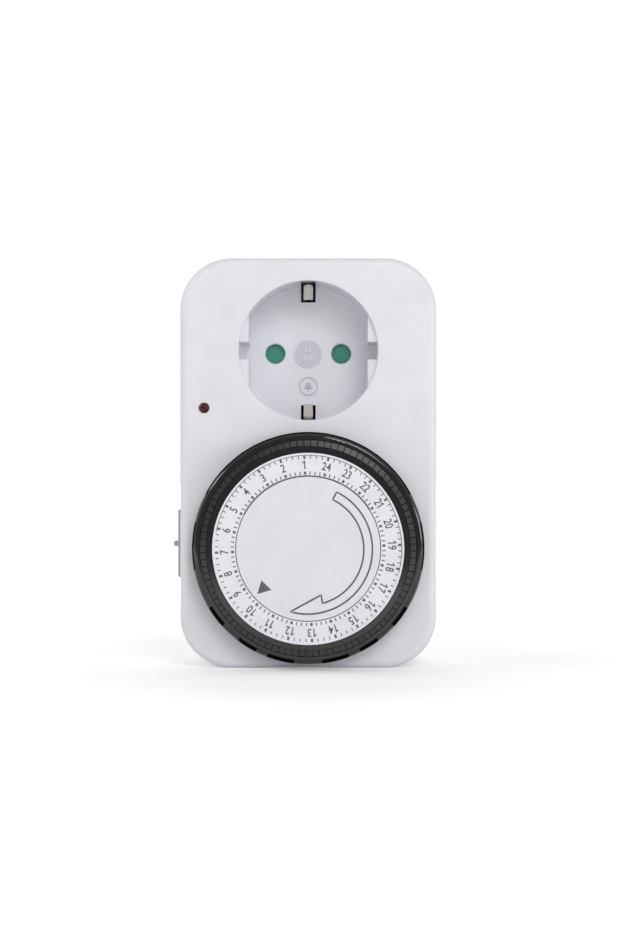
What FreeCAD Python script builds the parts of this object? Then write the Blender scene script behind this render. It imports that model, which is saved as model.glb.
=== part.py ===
import FreeCAD, Part
import math
import os
import Sketcher
from FreeCAD import Placement, Rotation, Vector

# A mechanical plug-in timer: a 24-hour dial below an earthed socket, with the plug at the back.
# Frame: origin at the middle of the flat bottom end, X to the viewer's right, Z up, and the
# front faces -Y. All lengths are millimetres, all angles degrees.

DRIVING = {
    # Case
    "case_width": 71.7,
    "front_face": 17.0,
    "back_face": 17.0,
    "split_line": 3.0,
    "corner_radius": 14.5,
    "edge_round": 2.2,
    "wall": 2.0,
    # Socket recess
    "socket_top_margin": 25.9,
    "socket_to_dial": 55.0,
    "socket_radius": 19.5,
    "socket_depth": 17.5,
    "rim_round": 0.35,
    "floor_round": 1.0,
    "cup_wall": 1.6,
    "floor_thickness": 2.0,
    "rail_reach": 16.7,
    "rail_drop": 1.5,
    "rail_bend_angle": 20.0,
    "rail_end_angle": 33.0,
    "groove_width": 5.0,
    "pin_spacing": 19.0,
    "pin_hole_radius": 2.85,
    "pin_hole_chamfer": 0.3,
    "clip_slot_width": 4.2,
    "clip_slot_radius": 14.8,
    "clip_slot_depth": 1.1,
    "clip_slot_drop": 0.6,
    "floor_boss_radius": 4.0,
    "floor_boss_rise": 0.5,
    "earth_ring_radius": 2.8,
    "earth_ring_offset": 9.3,
    "earth_ring_width": 0.5,
    "earth_ring_rise": 0.35,
    # Plug
    "plug_radius": 18.4,
    "plug_length": 17.0,
    "plug_end_wall": 3.0,
    "plug_hollow_radius": 14.2,
    "plug_flat_reach": 16.3,
    "plug_rib_width": 4.4,
    "plug_edge_round": 1.2,
    "plug_pin_radius": 2.4,
    "plug_pin_seat_radius": 2.6,
    "plug_pin_length": 19.0,
    "plug_pin_head_radius": 3.4,
    "plug_pin_head": 2.0,
    "earth_groove_width": 5.0,
    "earth_groove_radius": 17.0,
    # Earth strips
    "strip_width": 2.6,
    "strip_thickness": 0.6,
    "strip_bend": 0.3,
    "strip_plug_radius": 17.35,
    "strip_run_radius": 19.9,
    "strip_end_inset": 2.6,
    "strip_step_inset": 1.5,
    "strip_step_length": 4.0,
    "clip_nose_radius": 15.1,
    "clip_nose_depth": 8.5,
    "clip_tip_radius": 18.5,
    "clip_tip_depth": 3.4,
    "clip_tip_round": 1.2,
    "link_thickness": 0.8,
    "link_margin": 0.4,
    # Socket contacts and shutter
    "contact_inner_radius": 2.55,
    "contact_wall": 0.6,
    "contact_start": 6.0,
    "contact_length": 11.0,
    "contact_base": 1.0,
    "contact_slit": 0.8,
    "contact_slit_end": 2.0,
    "contact_stem_radius": 1.5,
    "shutter_thickness": 1.4,
    "shutter_height": 8.8,
    "shutter_travel": 6.2,
    "shutter_window_radius": 3.1,
    "shutter_gap": 0.2,
    "shutter_cover_thickness": 0.8,
    "shutter_rim": 1.6,
    "shutter_track_length": 24.0,
    "shutter_cover_margin": 3.0,
    "shutter_stop_width": 1.6,
    "spring_thickness": 0.3,
    "spring_length": 7.0,
    "spring_width": 0.8,
    "spring_reach": 6.0,
    # Dial
    "dial_height": 33.8,
    "face_rise": 10.8,
    "rim_rise": 0.4,
    "rim_width": 0.55,
    "face_radius": 26.3,
    "face_inner_radius": 20.0,
    "dial_wall": 1.3,
    "dial_web": 1.2,
    "dial_web_rise": 7.6,
    "hub_radius": 5.0,
    "hub_end": 6.0,
    "spindle_radius": 3.0,
    "running_fit": 0.06,
    "free_gap": 0.3,
    "disc_radius": 19.75,
    "disc_thickness": 1.2,
    "disc_boss_radius": 4.5,
    "disc_fit": 0.1,
    "disc_stub_radius": 1.5,
    # Tappet ring
    "carrier_web_rise": 3.0,
    "carrier_web": 1.0,
    "skirt_rise": 0.6,
    "skirt_top": 8.0,
    "skirt_width": 2.15,
    "skirt_round": 1.6,
    "carrier_lip": 2.55,
    "collar_gap": 0.25,
    "collar_width": 1.5,
    "collar_rise": 10.4,
    "collar_step_drop": 0.4,
    "collar_steps": 4,
    "rest_ring_inset": 1.0,
    "tappet_count": 96,
    "hour_count": 24,
    "tappet_rise": 8.6,
    "tappet_slope": 0.4,
    "tappet_head_width": 1.55,
    "tappet_side_gap": 0.2,
    "tappet_head_angle": 3.3,
    "tappet_foot_angle": 1.9,
    "tappet_foot_width": 1.0,
    "tappet_travel": 3.0,
    "tappet_clearance": 0.2,
    "foot_clearance": 0.15,
    "window_end_play": 0.3,
    "first_hour_angle": 2.4,
    # Gear train
    "gear_module": 0.8,
    "gear_thickness": 2.0,
    "gear_back": 5.4,
    "tooth_backlash": 0.12,
    "tooth_tip_share": 0.45,
    "tooth_lap": 0.3,
    "tooth_flare": 0.1,
    "dial_gear_hole_radius": 3.6,
    "dial_gear_hole_circle": 11.6,
    "dial_gear_holes": 6,
    "dial_gear_teeth": 48,
    "idler_teeth": 24,
    "pinion_teeth": 12,
    "idler_wall_gap": 1.4,
    "pinion_bearing": 155.0,
    "axle_radius": 1.5,
    "axle_collar": 1.0,
    "axle_play": 0.2,
    "pinion_shaft_radius": 1.0,
    "pinion_shaft_play": 0.3,
    # Movement
    "plate_front": 6.5,
    "plate_thickness": 1.2,
    "plate_margin": 4.0,
    "plate_post_left": 16.0,
    "plate_post_rise": 23.2,
    "plate_post_side_inset": 7.85,
    "plate_post_low_x": 8.0,
    "plate_edge_gap": 1.5,
    "plate_corner_round": 3.0,
    "spindle_collar_radius": 4.5,
    "motor_radius": 17.6,
    "motor_depth": 12.0,
    "motor_lid_thickness": 0.8,
    "motor_x": 6.0,
    "motor_rise": 8.2,
    "motor_ear_reach": 21.5,
    "motor_ear_width": 6.0,
    "motor_ear_angle": 45.0,
    "motor_round": 1.5,
    "small_post_radius": 2.5,
    "small_screw_radius": 1.0,
    "small_screw_head": 1.9,
    "small_screw_head_rise": 1.2,
    "small_screw_bite": 3.4,
    "small_bore_end": 0.1,
    # Time switch
    "switch_angle": 131.775,
    "follower_drop": 9.0,
    "follower_width": 2.0,
    "follower_nose_rise": 1.6,
    "follower_axis_depth": 5.4,
    "follower_eye_radius": 2.0,
    "follower_pin_radius": 1.0,
    "follower_arm": 1.6,
    "follower_nose_height": 1.5,
    "follower_nose_bevel": 0.5,
    "follower_tip_height": 0.6,
    "follower_heel": 1.6,
    "follower_slot_below": 2.6,
    "follower_slot_above": 1.4,
    "lug_width": 1.0,
    "lug_reach": 1.8,
    "switch_rib": 2.0,
    "switch_rib_rise": 4.0,
    "switch_width": 6.0,
    "switch_depth": 10.0,
    "switch_length": 13.4,
    "switch_front": 10.5,
    "lever_thickness": 0.4,
    "lever_roll_radius": 0.5,
    "lever_axis_rise": 1.0,
    "lever_gap": 0.5,
    "lever_inset": 1.2,
    "busbar_thickness": 0.8,
    "busbar_width": 5.0,
    "busbar_narrow": 2.6,
    "busbar_foot_width": 3.0,
    "busbar_foot_length": 4.0,
    "busbar_spacing": 2.4,
    "busbar_margin": 1.0,
    "busbar_back_gap": 3.0,
    "busbar_tab_low": 2.5,
    "busbar_tab_high": 2.0,
    # Lamp
    "lamp_side_inset": 6.75,
    "lamp_drop": 16.1,
    "lamp_radius": 1.45,
    "lamp_fit": 0.05,
    "lamp_flange": 0.4,
    "lamp_flange_thickness": 1.0,
    "lamp_stem_radius": 0.5,
    "lamp_rise": 0.9,
    "board_thickness": 1.6,
    "board_depth": 9.0,
    "board_width": 7.4,
    "board_height": 20.0,
    "board_shift": 1.2,
    "board_post_radius": 1.5,
    "board_post_inset": 2.0,
    "resistor_radius": 1.2,
    "resistor_length": 6.3,
    "resistor_rise": 1.0,
    # Mode switch
    "mode_z": 34.6,
    "mode_y": 4.0,
    "mode_plate_height": 19.2,
    "mode_plate_width": 11.0,
    "mode_plate_rise": 1.06,
    "mode_plate_margin": 1.0,
    "mode_plate_end_margin": 2.0,
    "mode_plate_depth": 1.8,
    "mode_lip": 0.66,
    "mode_well_height": 6.6,
    "mode_well_width": 6.0,
    "mode_rib_height": 1.8,
    "mode_rib_rise": 1.35,
    "mode_rib_drop": 0.2,
    "mode_slab": 1.0,
    "mode_slab_height": 8.0,
    "mode_slab_overlap": 0.8,
    "mode_fit": 0.05,
    "mode_lap": 0.1,
    "mode_bezel_round": 0.4,
    "mode_travel": 2.0,
    "mode_wedge_height": 5.1,
    "mode_wedge_rise": 0.45,
    # Housing screws
    "post_side_inset": 8.2,
    "post_end_inset": 9.0,
    "post_radius": 3.2,
    "screw_radius": 1.3,
    "screw_clearance": 0.15,
    "screw_head_radius": 2.7,
    "screw_head_rise": 1.9,
    "screw_recess_radius": 2.9,
    "screw_recess_depth": 9.0,
    "screw_length": 14.0,
    "sleeve_radius": 4.2,
}


class Size:
    """A number together with the sheet expression that gives it."""

    def __init__(self, number, text):
        self.number = float(number)
        self.text = text

    def __add__(self, other):
        other = as_size(other)
        return Size(self.number + other.number, f"({self.text} + {other.text})")

    def __sub__(self, other):
        other = as_size(other)
        return Size(self.number - other.number, f"({self.text} - {other.text})")

    def __mul__(self, other):
        other = as_size(other)
        return Size(self.number * other.number, f"({self.text} * {other.text})")

    def __truediv__(self, other):
        other = as_size(other)
        return Size(self.number / other.number, f"({self.text} / {other.text})")

    def __neg__(self):
        return Size(-self.number, f"(-1 * {self.text})")

    def __radd__(self, other):
        return as_size(other) + self

    def __rsub__(self, other):
        return as_size(other) - self

    def __rmul__(self, other):
        return as_size(other) * self

    def __rtruediv__(self, other):
        return as_size(other) / self


def as_size(value):
    """Plain numbers join sizes from the sheet as they are."""
    if isinstance(value, Size):
        return value
    return Size(value, f"({float(value)!r})")


def sine(angle):
    angle = as_size(angle)
    return Size(math.sin(math.radians(angle.number)), f"sin({angle.text})")


def cosine(angle):
    angle = as_size(angle)
    return Size(math.cos(math.radians(angle.number)), f"cos({angle.text})")


def square_root(value):
    return Size(math.sqrt(value.number), f"sqrt({value.text})")


class Sizes:
    """Every driving dimension of the sheet under its own name."""


doc = FreeCAD.newDocument("Timer")
sheet = doc.addObject("Spreadsheet::Sheet", "Sizes")
S = Sizes()
for row, (name, number) in enumerate(DRIVING.items(), start=1):
    sheet.set(f"A{row}", name)
    sheet.set(f"B{row}", str(number))
    sheet.setAlias(f"B{row}", name)
    setattr(S, name, Size(number, f"Sizes.{name}"))
doc.recompute()

NODES = {}
ALONG_Y = Rotation(Vector(1, 0, 0), -90)
ALONG_X = Rotation(Vector(0, 1, 0), 90)
UPRIGHT = Rotation()


# Features of a body

def new_body(name, x=0, y=0, z=0, rotation=UPRIGHT):
    """A body named after the node that it becomes, at its place."""
    part = doc.addObject("PartDesign::Body", name)
    part.AllowCompound = True
    finish(part, name)
    place(part, x, y, z, rotation)
    return part


def finish(item, name):
    item.Label = name
    NODES[name] = item


def place(item, x=0, y=0, z=0, rotation=UPRIGHT):
    """Put an object at a place of the sheet."""
    item.Placement = Placement(Vector(0, 0, 0), rotation)
    for axis, value in zip("xyz", (x, y, z)):
        item.setExpression(f"Placement.Base.{axis}", as_size(value).text)


def new_sketch(part, name, role, offset=0):
    """A sketch on one of the body's own origin planes, moved along the plane's normal."""
    item = part.newObject("Sketcher::SketchObject", name)
    plane = [plane for plane in part.Origin.OriginFeatures if plane.Role == role][0]
    item.AttachmentSupport = [(plane, "")]
    item.MapMode = "FlatFace"
    item.setExpression("AttachmentOffset.Base.z", as_size(offset).text)
    return item


def fix(item, kind, geometry, point, value):
    """Hold a point of the sketch, or a circle's radius, at a size of the sheet."""
    value = as_size(value)
    if kind == "Radius":
        number = item.addConstraint(Sketcher.Constraint(kind, geometry, value.number))
    else:
        number = item.addConstraint(Sketcher.Constraint(kind, -1, 1, geometry, point, value.number))
    item.setExpression(f"Constraints[{number}]", value.text)


def add_polygon(item, points):
    """A closed loop of straight sides with each corner held in both directions."""
    points = [(as_size(across), as_size(up)) for across, up in points]
    corners = [Vector(across.number, up.number, 0) for across, up in points]
    first = item.GeometryCount
    for index, corner in enumerate(corners):
        item.addGeometry(Part.LineSegment(corner, corners[(index + 1) % len(corners)]), False)
    for index in range(len(corners)):
        following = first + (index + 1) % len(corners)
        item.addConstraint(Sketcher.Constraint("Coincident", first + index, 2, following, 1))
    for index, (across, up) in enumerate(points):
        fix(item, "DistanceX", first + index, 1, across)
        fix(item, "DistanceY", first + index, 1, up)


def add_rectangle(item, left, right, low, high):
    add_polygon(item, [(left, low), (right, low), (right, high), (left, high)])


def add_circle(item, across, up, radius):
    across, up, radius = as_size(across), as_size(up), as_size(radius)
    centre = Vector(across.number, up.number, 0)
    index = item.addGeometry(Part.Circle(centre, Vector(0, 0, 1), radius.number), False)
    fix(item, "DistanceX", index, 3, across)
    fix(item, "DistanceY", index, 3, up)
    fix(item, "Radius", index, 0, radius)


def feature(part, kind, item, length, reverse=False, middle=False):
    """A pad or pocket of a sketch."""
    made = part.newObject(f"PartDesign::{kind}", f"{item.Name}{kind}")
    made.Profile = item
    made.setExpression("Length", as_size(length).text)
    made.Reversed = reverse
    if middle:
        made.SideType = "Symmetric"
    return made


def revolve(part, item, angle=360):
    """Turn a sketch about its own upright axis."""
    made = part.newObject("PartDesign::Revolution", f"{item.Name}Turned")
    made.Profile = item
    made.ReferenceAxis = (item, ["V_Axis"])
    made.setExpression("Angle", as_size(angle).text)
    made.Midplane = True
    return made


def pattern(part, originals, count, sketch, axis, angle=360):
    """Copies of features about an axis of a sketch."""
    made = part.newObject("PartDesign::PolarPattern", f"{originals[0].Name}Pattern")
    made.Originals = originals
    made.Axis = (sketch, [axis])
    made.setExpression("Angle", as_size(angle).text)
    made.setExpression("Occurrences", as_size(count).text)
    part.Tip = made
    return made


def trim_edges(part, kind, name, chosen):
    """A fillet or chamfer of the edges of the body that the chosen test picks."""
    doc.recompute()
    base = part.Tip
    edges = [f"Edge{index}" for index, edge in enumerate(base.Shape.Edges, start=1) if chosen(edge)]
    made = part.newObject(f"PartDesign::{kind}", name)
    made.Base = (base, edges)
    part.Tip = made
    return made


def round_edges(part, name, radius, chosen):
    trim_edges(part, "Fillet", name, chosen).setExpression("Radius", as_size(radius).text)


def chamfer_edges(part, name, size, chosen):
    trim_edges(part, "Chamfer", name, chosen).setExpression("Size", as_size(size).text)


def runs_along(edge, axis):
    """Whether an edge is straight and parallel to a row axis."""
    if edge.Curve.TypeId != "Part::GeomLine":
        return False
    direction = edge.Curve.Direction
    return abs(abs(direction.dot(axis)) - 1) < 1e-6


def lies_at(edge, axis, value):
    """Whether an edge lies wholly in the plane at this value of an axis."""
    box = edge.BoundBox
    low = {"x": box.XMin, "y": box.YMin, "z": box.ZMin}[axis]
    high = {"x": box.XMax, "y": box.YMax, "z": box.ZMax}[axis]
    return abs(low - value) < 1e-4 and abs(high - value) < 1e-4


def lies_near(edge, point):
    """Whether the middle of an edge is at this place of the upright plane along the object's middle."""
    middle = edge.CenterOfMass
    return abs(middle.y - point.y) < 1e-4 and abs(middle.z - point.z) < 1e-4


def circle_at(edge, depth, radius):
    """Whether an edge is a circle of this radius in the upright plane at a depth."""
    if edge.Curve.TypeId != "Part::GeomCircle":
        return False
    return abs(edge.Curve.Radius - radius.number) < 1e-6 and lies_at(edge, "y", depth.number)


# Primitives and what joins them

def box(name, x, y, z):
    """A box between two values along each axis."""
    item = doc.addObject("Part::Box", name)
    for side, (low, high) in zip(("Length", "Width", "Height"), (x, y, z)):
        item.setExpression(side, (as_size(high) - low).text)
    place(item, x[0], y[0], z[0])
    return item


def cylinder(name, radius, start, end, x=0, z=0):
    """A cylinder along Y between two depths."""
    item = doc.addObject("Part::Cylinder", name)
    item.setExpression("Radius", as_size(radius).text)
    item.setExpression("Height", (as_size(end) - start).text)
    place(item, x, start, z, ALONG_Y)
    return item


def fuse(name, *items):
    joined = doc.addObject("Part::MultiFuse", name)
    joined.Shapes = list(items)
    return joined


def group(name, items):
    """Separate solids that share a node."""
    made = doc.addObject("Part::Compound", name)
    made.Links = items
    finish(made, name)
    return made


# Values that several pieces share

FRONT = -S.front_face
INNER_FRONT = FRONT + S.wall
BACK = S.back_face
INNER_BACK = BACK - S.wall
HALF_WIDTH = S.case_width / 2
SOCKET_Z = S.dial_height + S.socket_to_dial
CASE_HEIGHT = SOCKET_Z + S.socket_top_margin
FLOOR = FRONT + S.socket_depth
FLOOR_BACK = FLOOR + S.floor_thickness
PLUG_END = BACK + S.plug_length
PLUG_INNER_END = PLUG_END - S.plug_end_wall
HALF_SPACING = S.pin_spacing / 2
POST_HEIGHTS = (S.post_end_inset, CASE_HEIGHT - S.post_end_inset)
POSTS = [(side * (HALF_WIDTH - S.post_side_inset), height) for side in (-1, 1) for height in POST_HEIGHTS]
PLATE_FRONT = INNER_FRONT + S.plate_front - S.wall
PLATE_BACK = PLATE_FRONT + S.plate_thickness
PLATE_POSTS = [
    (-S.plate_post_left, S.dial_height + S.plate_post_rise),
    (HALF_WIDTH - S.plate_post_side_inset, S.dial_height),
    (S.plate_post_low_x, S.wall + S.plate_edge_gap + S.plate_margin),
]
IDLER_REACH = S.gear_module * (S.dial_gear_teeth + S.idler_teeth) / 2
IDLER_X = HALF_WIDTH - S.wall - S.idler_wall_gap - S.gear_module * (S.idler_teeth / 2 + 1)
IDLER_RISE = square_root(IDLER_REACH * IDLER_REACH - IDLER_X * IDLER_X)
IDLER_Z = S.dial_height + IDLER_RISE
PINION_REACH = S.gear_module * (S.idler_teeth + S.pinion_teeth) / 2
PINION_X = IDLER_X + PINION_REACH * cosine(S.pinion_bearing)
PINION_Z = IDLER_Z + PINION_REACH * sine(S.pinion_bearing)
GEAR_BACK = FRONT + S.gear_back
GEAR_FRONT = GEAR_BACK - S.gear_thickness
WEB_TOP = S.carrier_web_rise + S.carrier_web
TAPPET_PITCH = 360 / S.tappet_count
TAPPETS_PER_HOUR = S.tappet_count / S.hour_count
HEAD_BOTTOM = WEB_TOP + S.tappet_travel + S.tappet_clearance
FOOT_END = S.carrier_web_rise + S.tappet_clearance
COLLAR_INNER = S.face_radius + S.collar_gap
COLLAR_OUTER = COLLAR_INNER + S.collar_width
CARRIER_INNER = COLLAR_INNER - S.carrier_lip
FOOT_INNER = COLLAR_OUTER + S.foot_clearance
FOOT_OUTER = FOOT_INNER + S.tappet_foot_width
HEAD_OUTER = FOOT_INNER + S.tappet_head_width
SKIRT_INNER = HEAD_OUTER + S.tappet_side_gap
SKIRT_RADIUS = SKIRT_INNER + S.skirt_width
FOOT_RADIUS = (FOOT_INNER + FOOT_OUTER) / 2
FOLLOWER_X = -1 * FOOT_RADIUS * sine(S.switch_angle)
NOSE_Z = S.dial_height + FOOT_RADIUS * cosine(S.switch_angle)
FOLLOWER_AXIS_Z = NOSE_Z + S.follower_drop
FOLLOWER_AXIS_Y = FRONT + S.follower_axis_depth
SWITCH_FRONT = FRONT + S.switch_front
SWITCH_BACK = SWITCH_FRONT + S.switch_depth
SWITCH_RIGHT = FOLLOWER_X + S.switch_width / 2
SWITCH_LEFT = FOLLOWER_X - S.switch_width / 2
LEVER_Y = FOLLOWER_AXIS_Y + S.follower_eye_radius + S.lever_gap
LEVER_Z = FOLLOWER_AXIS_Z + S.lever_axis_rise
SWITCH_LOW = NOSE_Z - S.lever_axis_rise
SWITCH_HIGH = SWITCH_LOW + S.switch_length
BOARD_FRONT = FRONT + S.board_depth
BOARD_BACK = BOARD_FRONT + S.board_thickness
LAMP_X = S.lamp_side_inset - HALF_WIDTH
LAMP_Z = SOCKET_Z - S.lamp_drop
BOARD_X = LAMP_X + S.board_shift
BOARD_LOW = LAMP_Z - S.board_height / 2
MODE_Y = -S.mode_y
MOTOR_Z = S.dial_height + S.motor_rise
EAR_ACROSS = cosine(S.motor_ear_angle)
EAR_DOWN = sine(S.motor_ear_angle)
MOTOR_EARS = [
    (S.motor_x + side * S.motor_ear_reach * EAR_ACROSS, MOTOR_Z - side * S.motor_ear_reach * EAR_DOWN)
    for side in (-1, 1)
]
ROOT_DEPTH = 1.25
PIN_TIP_SHARE = 0.8
DOME_SHARE = 0.85
RIB_TAPER = 0.8


def rise(height):
    """The depth of a point that stands this high above the front face."""
    return FRONT - height


# Housing

def add_case_outline(item, inset):
    """The upright rectangle of the case, drawn in by an inset."""
    half = HALF_WIDTH - inset
    add_rectangle(item, -half, half, as_size(inset), CASE_HEIGHT - inset)


def case_half(part, name, end, length, outer_depth):
    """One half of the case: a block with round corners, a soft outer edge and a hollow."""
    outline = new_sketch(part, f"{name}Outline", "XZ_Plane", -end)
    add_case_outline(outline, 0)
    feature(part, "Pad", outline, length)
    round_edges(part, f"{name}Corners", S.corner_radius, lambda edge: runs_along(edge, Vector(0, 1, 0)))
    face = outer_depth.number
    round_edges(part, f"{name}Edge", S.edge_round, lambda edge: lies_at(edge, "y", face))


def hollow_half(part, name, open_depth, length, reverse):
    """The space inside a half, with corners that follow the outside at one wall's distance."""
    inside = new_sketch(part, f"{name}Inside", "XZ_Plane", -open_depth)
    half = HALF_WIDTH - S.wall
    radius = S.corner_radius - S.wall
    low = S.wall
    high = CASE_HEIGHT - S.wall
    bends = [(half - radius, low + radius), (half - radius, high - radius),
             (radius - half, high - radius), (radius - half, low + radius)]
    quarter = math.pi / 2
    for index, (across, up) in enumerate(bends):
        circle = Part.Circle(Vector(across.number, up.number, 0), Vector(0, 0, 1), radius.number)
        start = (index - 1) * quarter
        inside.addGeometry(Part.ArcOfCircle(circle, start, start + quarter), False)
    for index in range(len(bends)):
        begin = inside.getPoint(index, 2)
        finish_point = inside.getPoint((index + 1) % 4, 1)
        inside.addGeometry(Part.LineSegment(begin, finish_point), False)
    for index, (across, up) in enumerate(bends):
        inside.addConstraint(Sketcher.Constraint("Tangent", index, 2, 4 + index, 1))
        inside.addConstraint(Sketcher.Constraint("Tangent", 4 + index, 2, (index + 1) % 4, 1))
        fix(inside, "DistanceX", index, 3, across)
        fix(inside, "DistanceY", index, 3, up)
        if index == 0:
            fix(inside, "Radius", index, 0, radius)
    return feature(part, "Pocket", inside, length, reverse)


def socket_cup(part):
    """The recess for the plug: a cup behind the front wall, its guide rails and its floor."""
    cup = new_sketch(part, "CupWall", "XZ_Plane", -FLOOR_BACK)
    add_circle(cup, 0, SOCKET_Z, S.socket_radius + S.cup_wall)
    feature(part, "Pad", cup, FLOOR_BACK - INNER_FRONT)
    recess = new_sketch(part, "Recess", "XZ_Plane", -FRONT)
    add_circle(recess, 0, SOCKET_Z, S.socket_radius)
    feature(part, "Pocket", recess, S.socket_depth)
    round_edges(part, "RecessRim", S.rim_round, lambda edge: circle_at(edge, FRONT, S.socket_radius))
    round_edges(part, "RecessFloor", S.floor_round, lambda edge: circle_at(edge, FLOOR, S.socket_radius))
    rails = new_sketch(part, "Rails", "XZ_Plane", -FLOOR)
    seat = S.socket_radius + S.cup_wall / 2
    low = S.groove_width / 2
    bend, end = S.rail_bend_angle, S.rail_end_angle
    for side in (-1, 1):
        for turn in (-1, 1):
            corners = [(S.rail_reach, low), (square_root(seat * seat - low * low), low),
                       (seat * cosine(bend), seat * sine(bend)),
                       (seat * cosine(end), seat * sine(end)), (S.rail_reach, seat * sine(end))]
            add_polygon(rails, [(side * across, SOCKET_Z + turn * up) for across, up in corners])
    feature(part, "Pad", rails, S.socket_depth - S.rail_drop)
    boss = new_sketch(part, "FloorBoss", "XZ_Plane", -FLOOR)
    add_circle(boss, 0, SOCKET_Z, S.floor_boss_radius)
    feature(part, "Pad", boss, S.floor_boss_rise)
    ring = new_sketch(part, "EarthRing", "XZ_Plane", -FLOOR)
    ring_z = SOCKET_Z - S.earth_ring_offset
    add_circle(ring, 0, ring_z, S.earth_ring_radius)
    add_circle(ring, 0, ring_z, S.earth_ring_radius - S.earth_ring_width)
    feature(part, "Pad", ring, S.earth_ring_rise)
    holes = new_sketch(part, "PinHoles", "XZ_Plane", -FLOOR)
    for side in (-1, 1):
        add_circle(holes, side * HALF_SPACING, SOCKET_Z, S.pin_hole_radius)
    feature(part, "Pocket", holes, S.floor_thickness)
    chamfer_edges(part, "PinHoleEdges", S.pin_hole_chamfer,
                  lambda edge: circle_at(edge, FLOOR, S.pin_hole_radius))
    slots = new_sketch(part, "ClipSlots", "XZ_Plane", -(FRONT + S.clip_slot_drop))
    half = S.clip_slot_width / 2
    for side in (-1, 1):
        near = SOCKET_Z + side * S.clip_slot_radius
        far = SOCKET_Z + side * (S.socket_radius + S.clip_slot_depth)
        add_rectangle(slots, -half, half, near, far)
    feature(part, "Pocket", slots, FLOOR_BACK - FRONT)


def dial_seat(part):
    """What the front wall has under the dial: the hub's hole, a rest ring and the follower's slot."""
    rest = new_sketch(part, "RestRing", "XZ_Plane", -FRONT)
    add_circle(rest, 0, S.dial_height, FOOT_INNER - S.rest_ring_inset)
    add_circle(rest, 0, S.dial_height, CARRIER_INNER + S.rest_ring_inset)
    feature(part, "Pad", rest, S.carrier_web_rise - S.free_gap)
    hub = new_sketch(part, "HubHole", "XZ_Plane", -FRONT)
    add_circle(hub, 0, S.dial_height, S.hub_radius + S.free_gap)
    feature(part, "Pocket", hub, S.wall)
    slot = new_sketch(part, "FollowerSlot", "XZ_Plane", -FRONT)
    half = S.follower_width / 2 + S.free_gap
    add_rectangle(slot, FOLLOWER_X - half, FOLLOWER_X + half, NOSE_Z - S.follower_slot_below,
                  NOSE_Z + S.follower_slot_above)
    feature(part, "Pocket", slot, S.wall)
    lamp = new_sketch(part, "LampHole", "XZ_Plane", -FRONT)
    add_circle(lamp, LAMP_X, LAMP_Z, S.lamp_radius + S.lamp_fit)
    feature(part, "Pocket", lamp, S.wall)


def inner_posts(part):
    """Posts and ribs on the inside of the front wall."""
    posts = new_sketch(part, "Posts", "XZ_Plane", -S.split_line)
    for x, z in POSTS:
        add_circle(posts, x, z, S.post_radius)
    feature(part, "Pad", posts, S.split_line - INNER_FRONT)
    threads = new_sketch(part, "PostBores", "XZ_Plane", -S.split_line)
    for x, z in POSTS:
        add_circle(threads, x, z, S.screw_radius)
    feature(part, "Pocket", threads, S.screw_length, reverse=True)
    short = new_sketch(part, "ShortPosts", "XZ_Plane", -PLATE_FRONT)
    for x, z in PLATE_POSTS:
        add_circle(short, x, z, S.small_post_radius)
    feature(part, "Pad", short, PLATE_FRONT - INNER_FRONT)
    bores = new_sketch(part, "ShortBores", "XZ_Plane", -PLATE_FRONT)
    for x, z in PLATE_POSTS:
        add_circle(bores, x, z, S.small_screw_radius)
    feature(part, "Pocket", bores, S.small_screw_bite + S.small_bore_end, reverse=True)
    board = new_sketch(part, "BoardPosts", "XZ_Plane", -BOARD_FRONT)
    for inset in (S.board_post_inset, S.board_height - S.board_post_inset):
        add_circle(board, BOARD_X, BOARD_LOW + inset, S.board_post_radius)
    feature(part, "Pad", board, BOARD_FRONT - INNER_FRONT)
    ribs = new_sketch(part, "SwitchRibs", "XZ_Plane", -S.split_line)
    rib_low = SWITCH_LOW + S.switch_rib_rise
    add_rectangle(ribs, -HALF_WIDTH + S.wall / 2, SWITCH_LEFT, rib_low, rib_low + S.switch_rib)
    beside = FOLLOWER_X - S.follower_width / 2 - S.free_gap
    add_rectangle(ribs, SWITCH_LEFT, beside, SWITCH_LOW - S.switch_rib, SWITCH_LOW)
    feature(part, "Pad", ribs, S.split_line - INNER_FRONT)
    lug_back = FOLLOWER_AXIS_Y + S.lug_reach
    lugs = new_sketch(part, "FollowerLugs", "XZ_Plane", -lug_back)
    for side in (-1, 1):
        near = FOLLOWER_X + side * (S.follower_width / 2 + S.free_gap)
        far = near + side * S.lug_width
        add_rectangle(lugs, near, far, FOLLOWER_AXIS_Z - S.lug_reach, FOLLOWER_AXIS_Z + S.lug_reach)
    feature(part, "Pad", lugs, lug_back - INNER_FRONT)
    reach = S.follower_width / 2 + S.free_gap + S.lug_width
    pivot = new_sketch(part, "LugHoles", "YZ_Plane", FOLLOWER_X + reach)
    add_circle(pivot, FOLLOWER_AXIS_Y, FOLLOWER_AXIS_Z, S.follower_pin_radius)
    feature(part, "Pocket", pivot, reach * 2)
    window = new_sketch(part, "SideWindow", "YZ_Plane", S.wall + S.free_gap - HALF_WIDTH)
    half_y = S.mode_plate_width / 2 - S.mode_plate_margin
    half_z = S.mode_plate_height / 2 - S.mode_plate_end_margin
    add_rectangle(window, MODE_Y - half_y, MODE_Y + half_y, S.mode_z - half_z, S.mode_z + half_z)
    feature(part, "Pocket", window, S.wall + S.free_gap * 2)


def front_cover():
    part = new_body("front_cover")
    case_half(part, "Front", S.split_line, S.split_line - FRONT, FRONT)
    hollow_half(part, "Front", S.split_line, S.split_line - INNER_FRONT, True)
    socket_cup(part)
    dial_seat(part)
    inner_posts(part)


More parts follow.
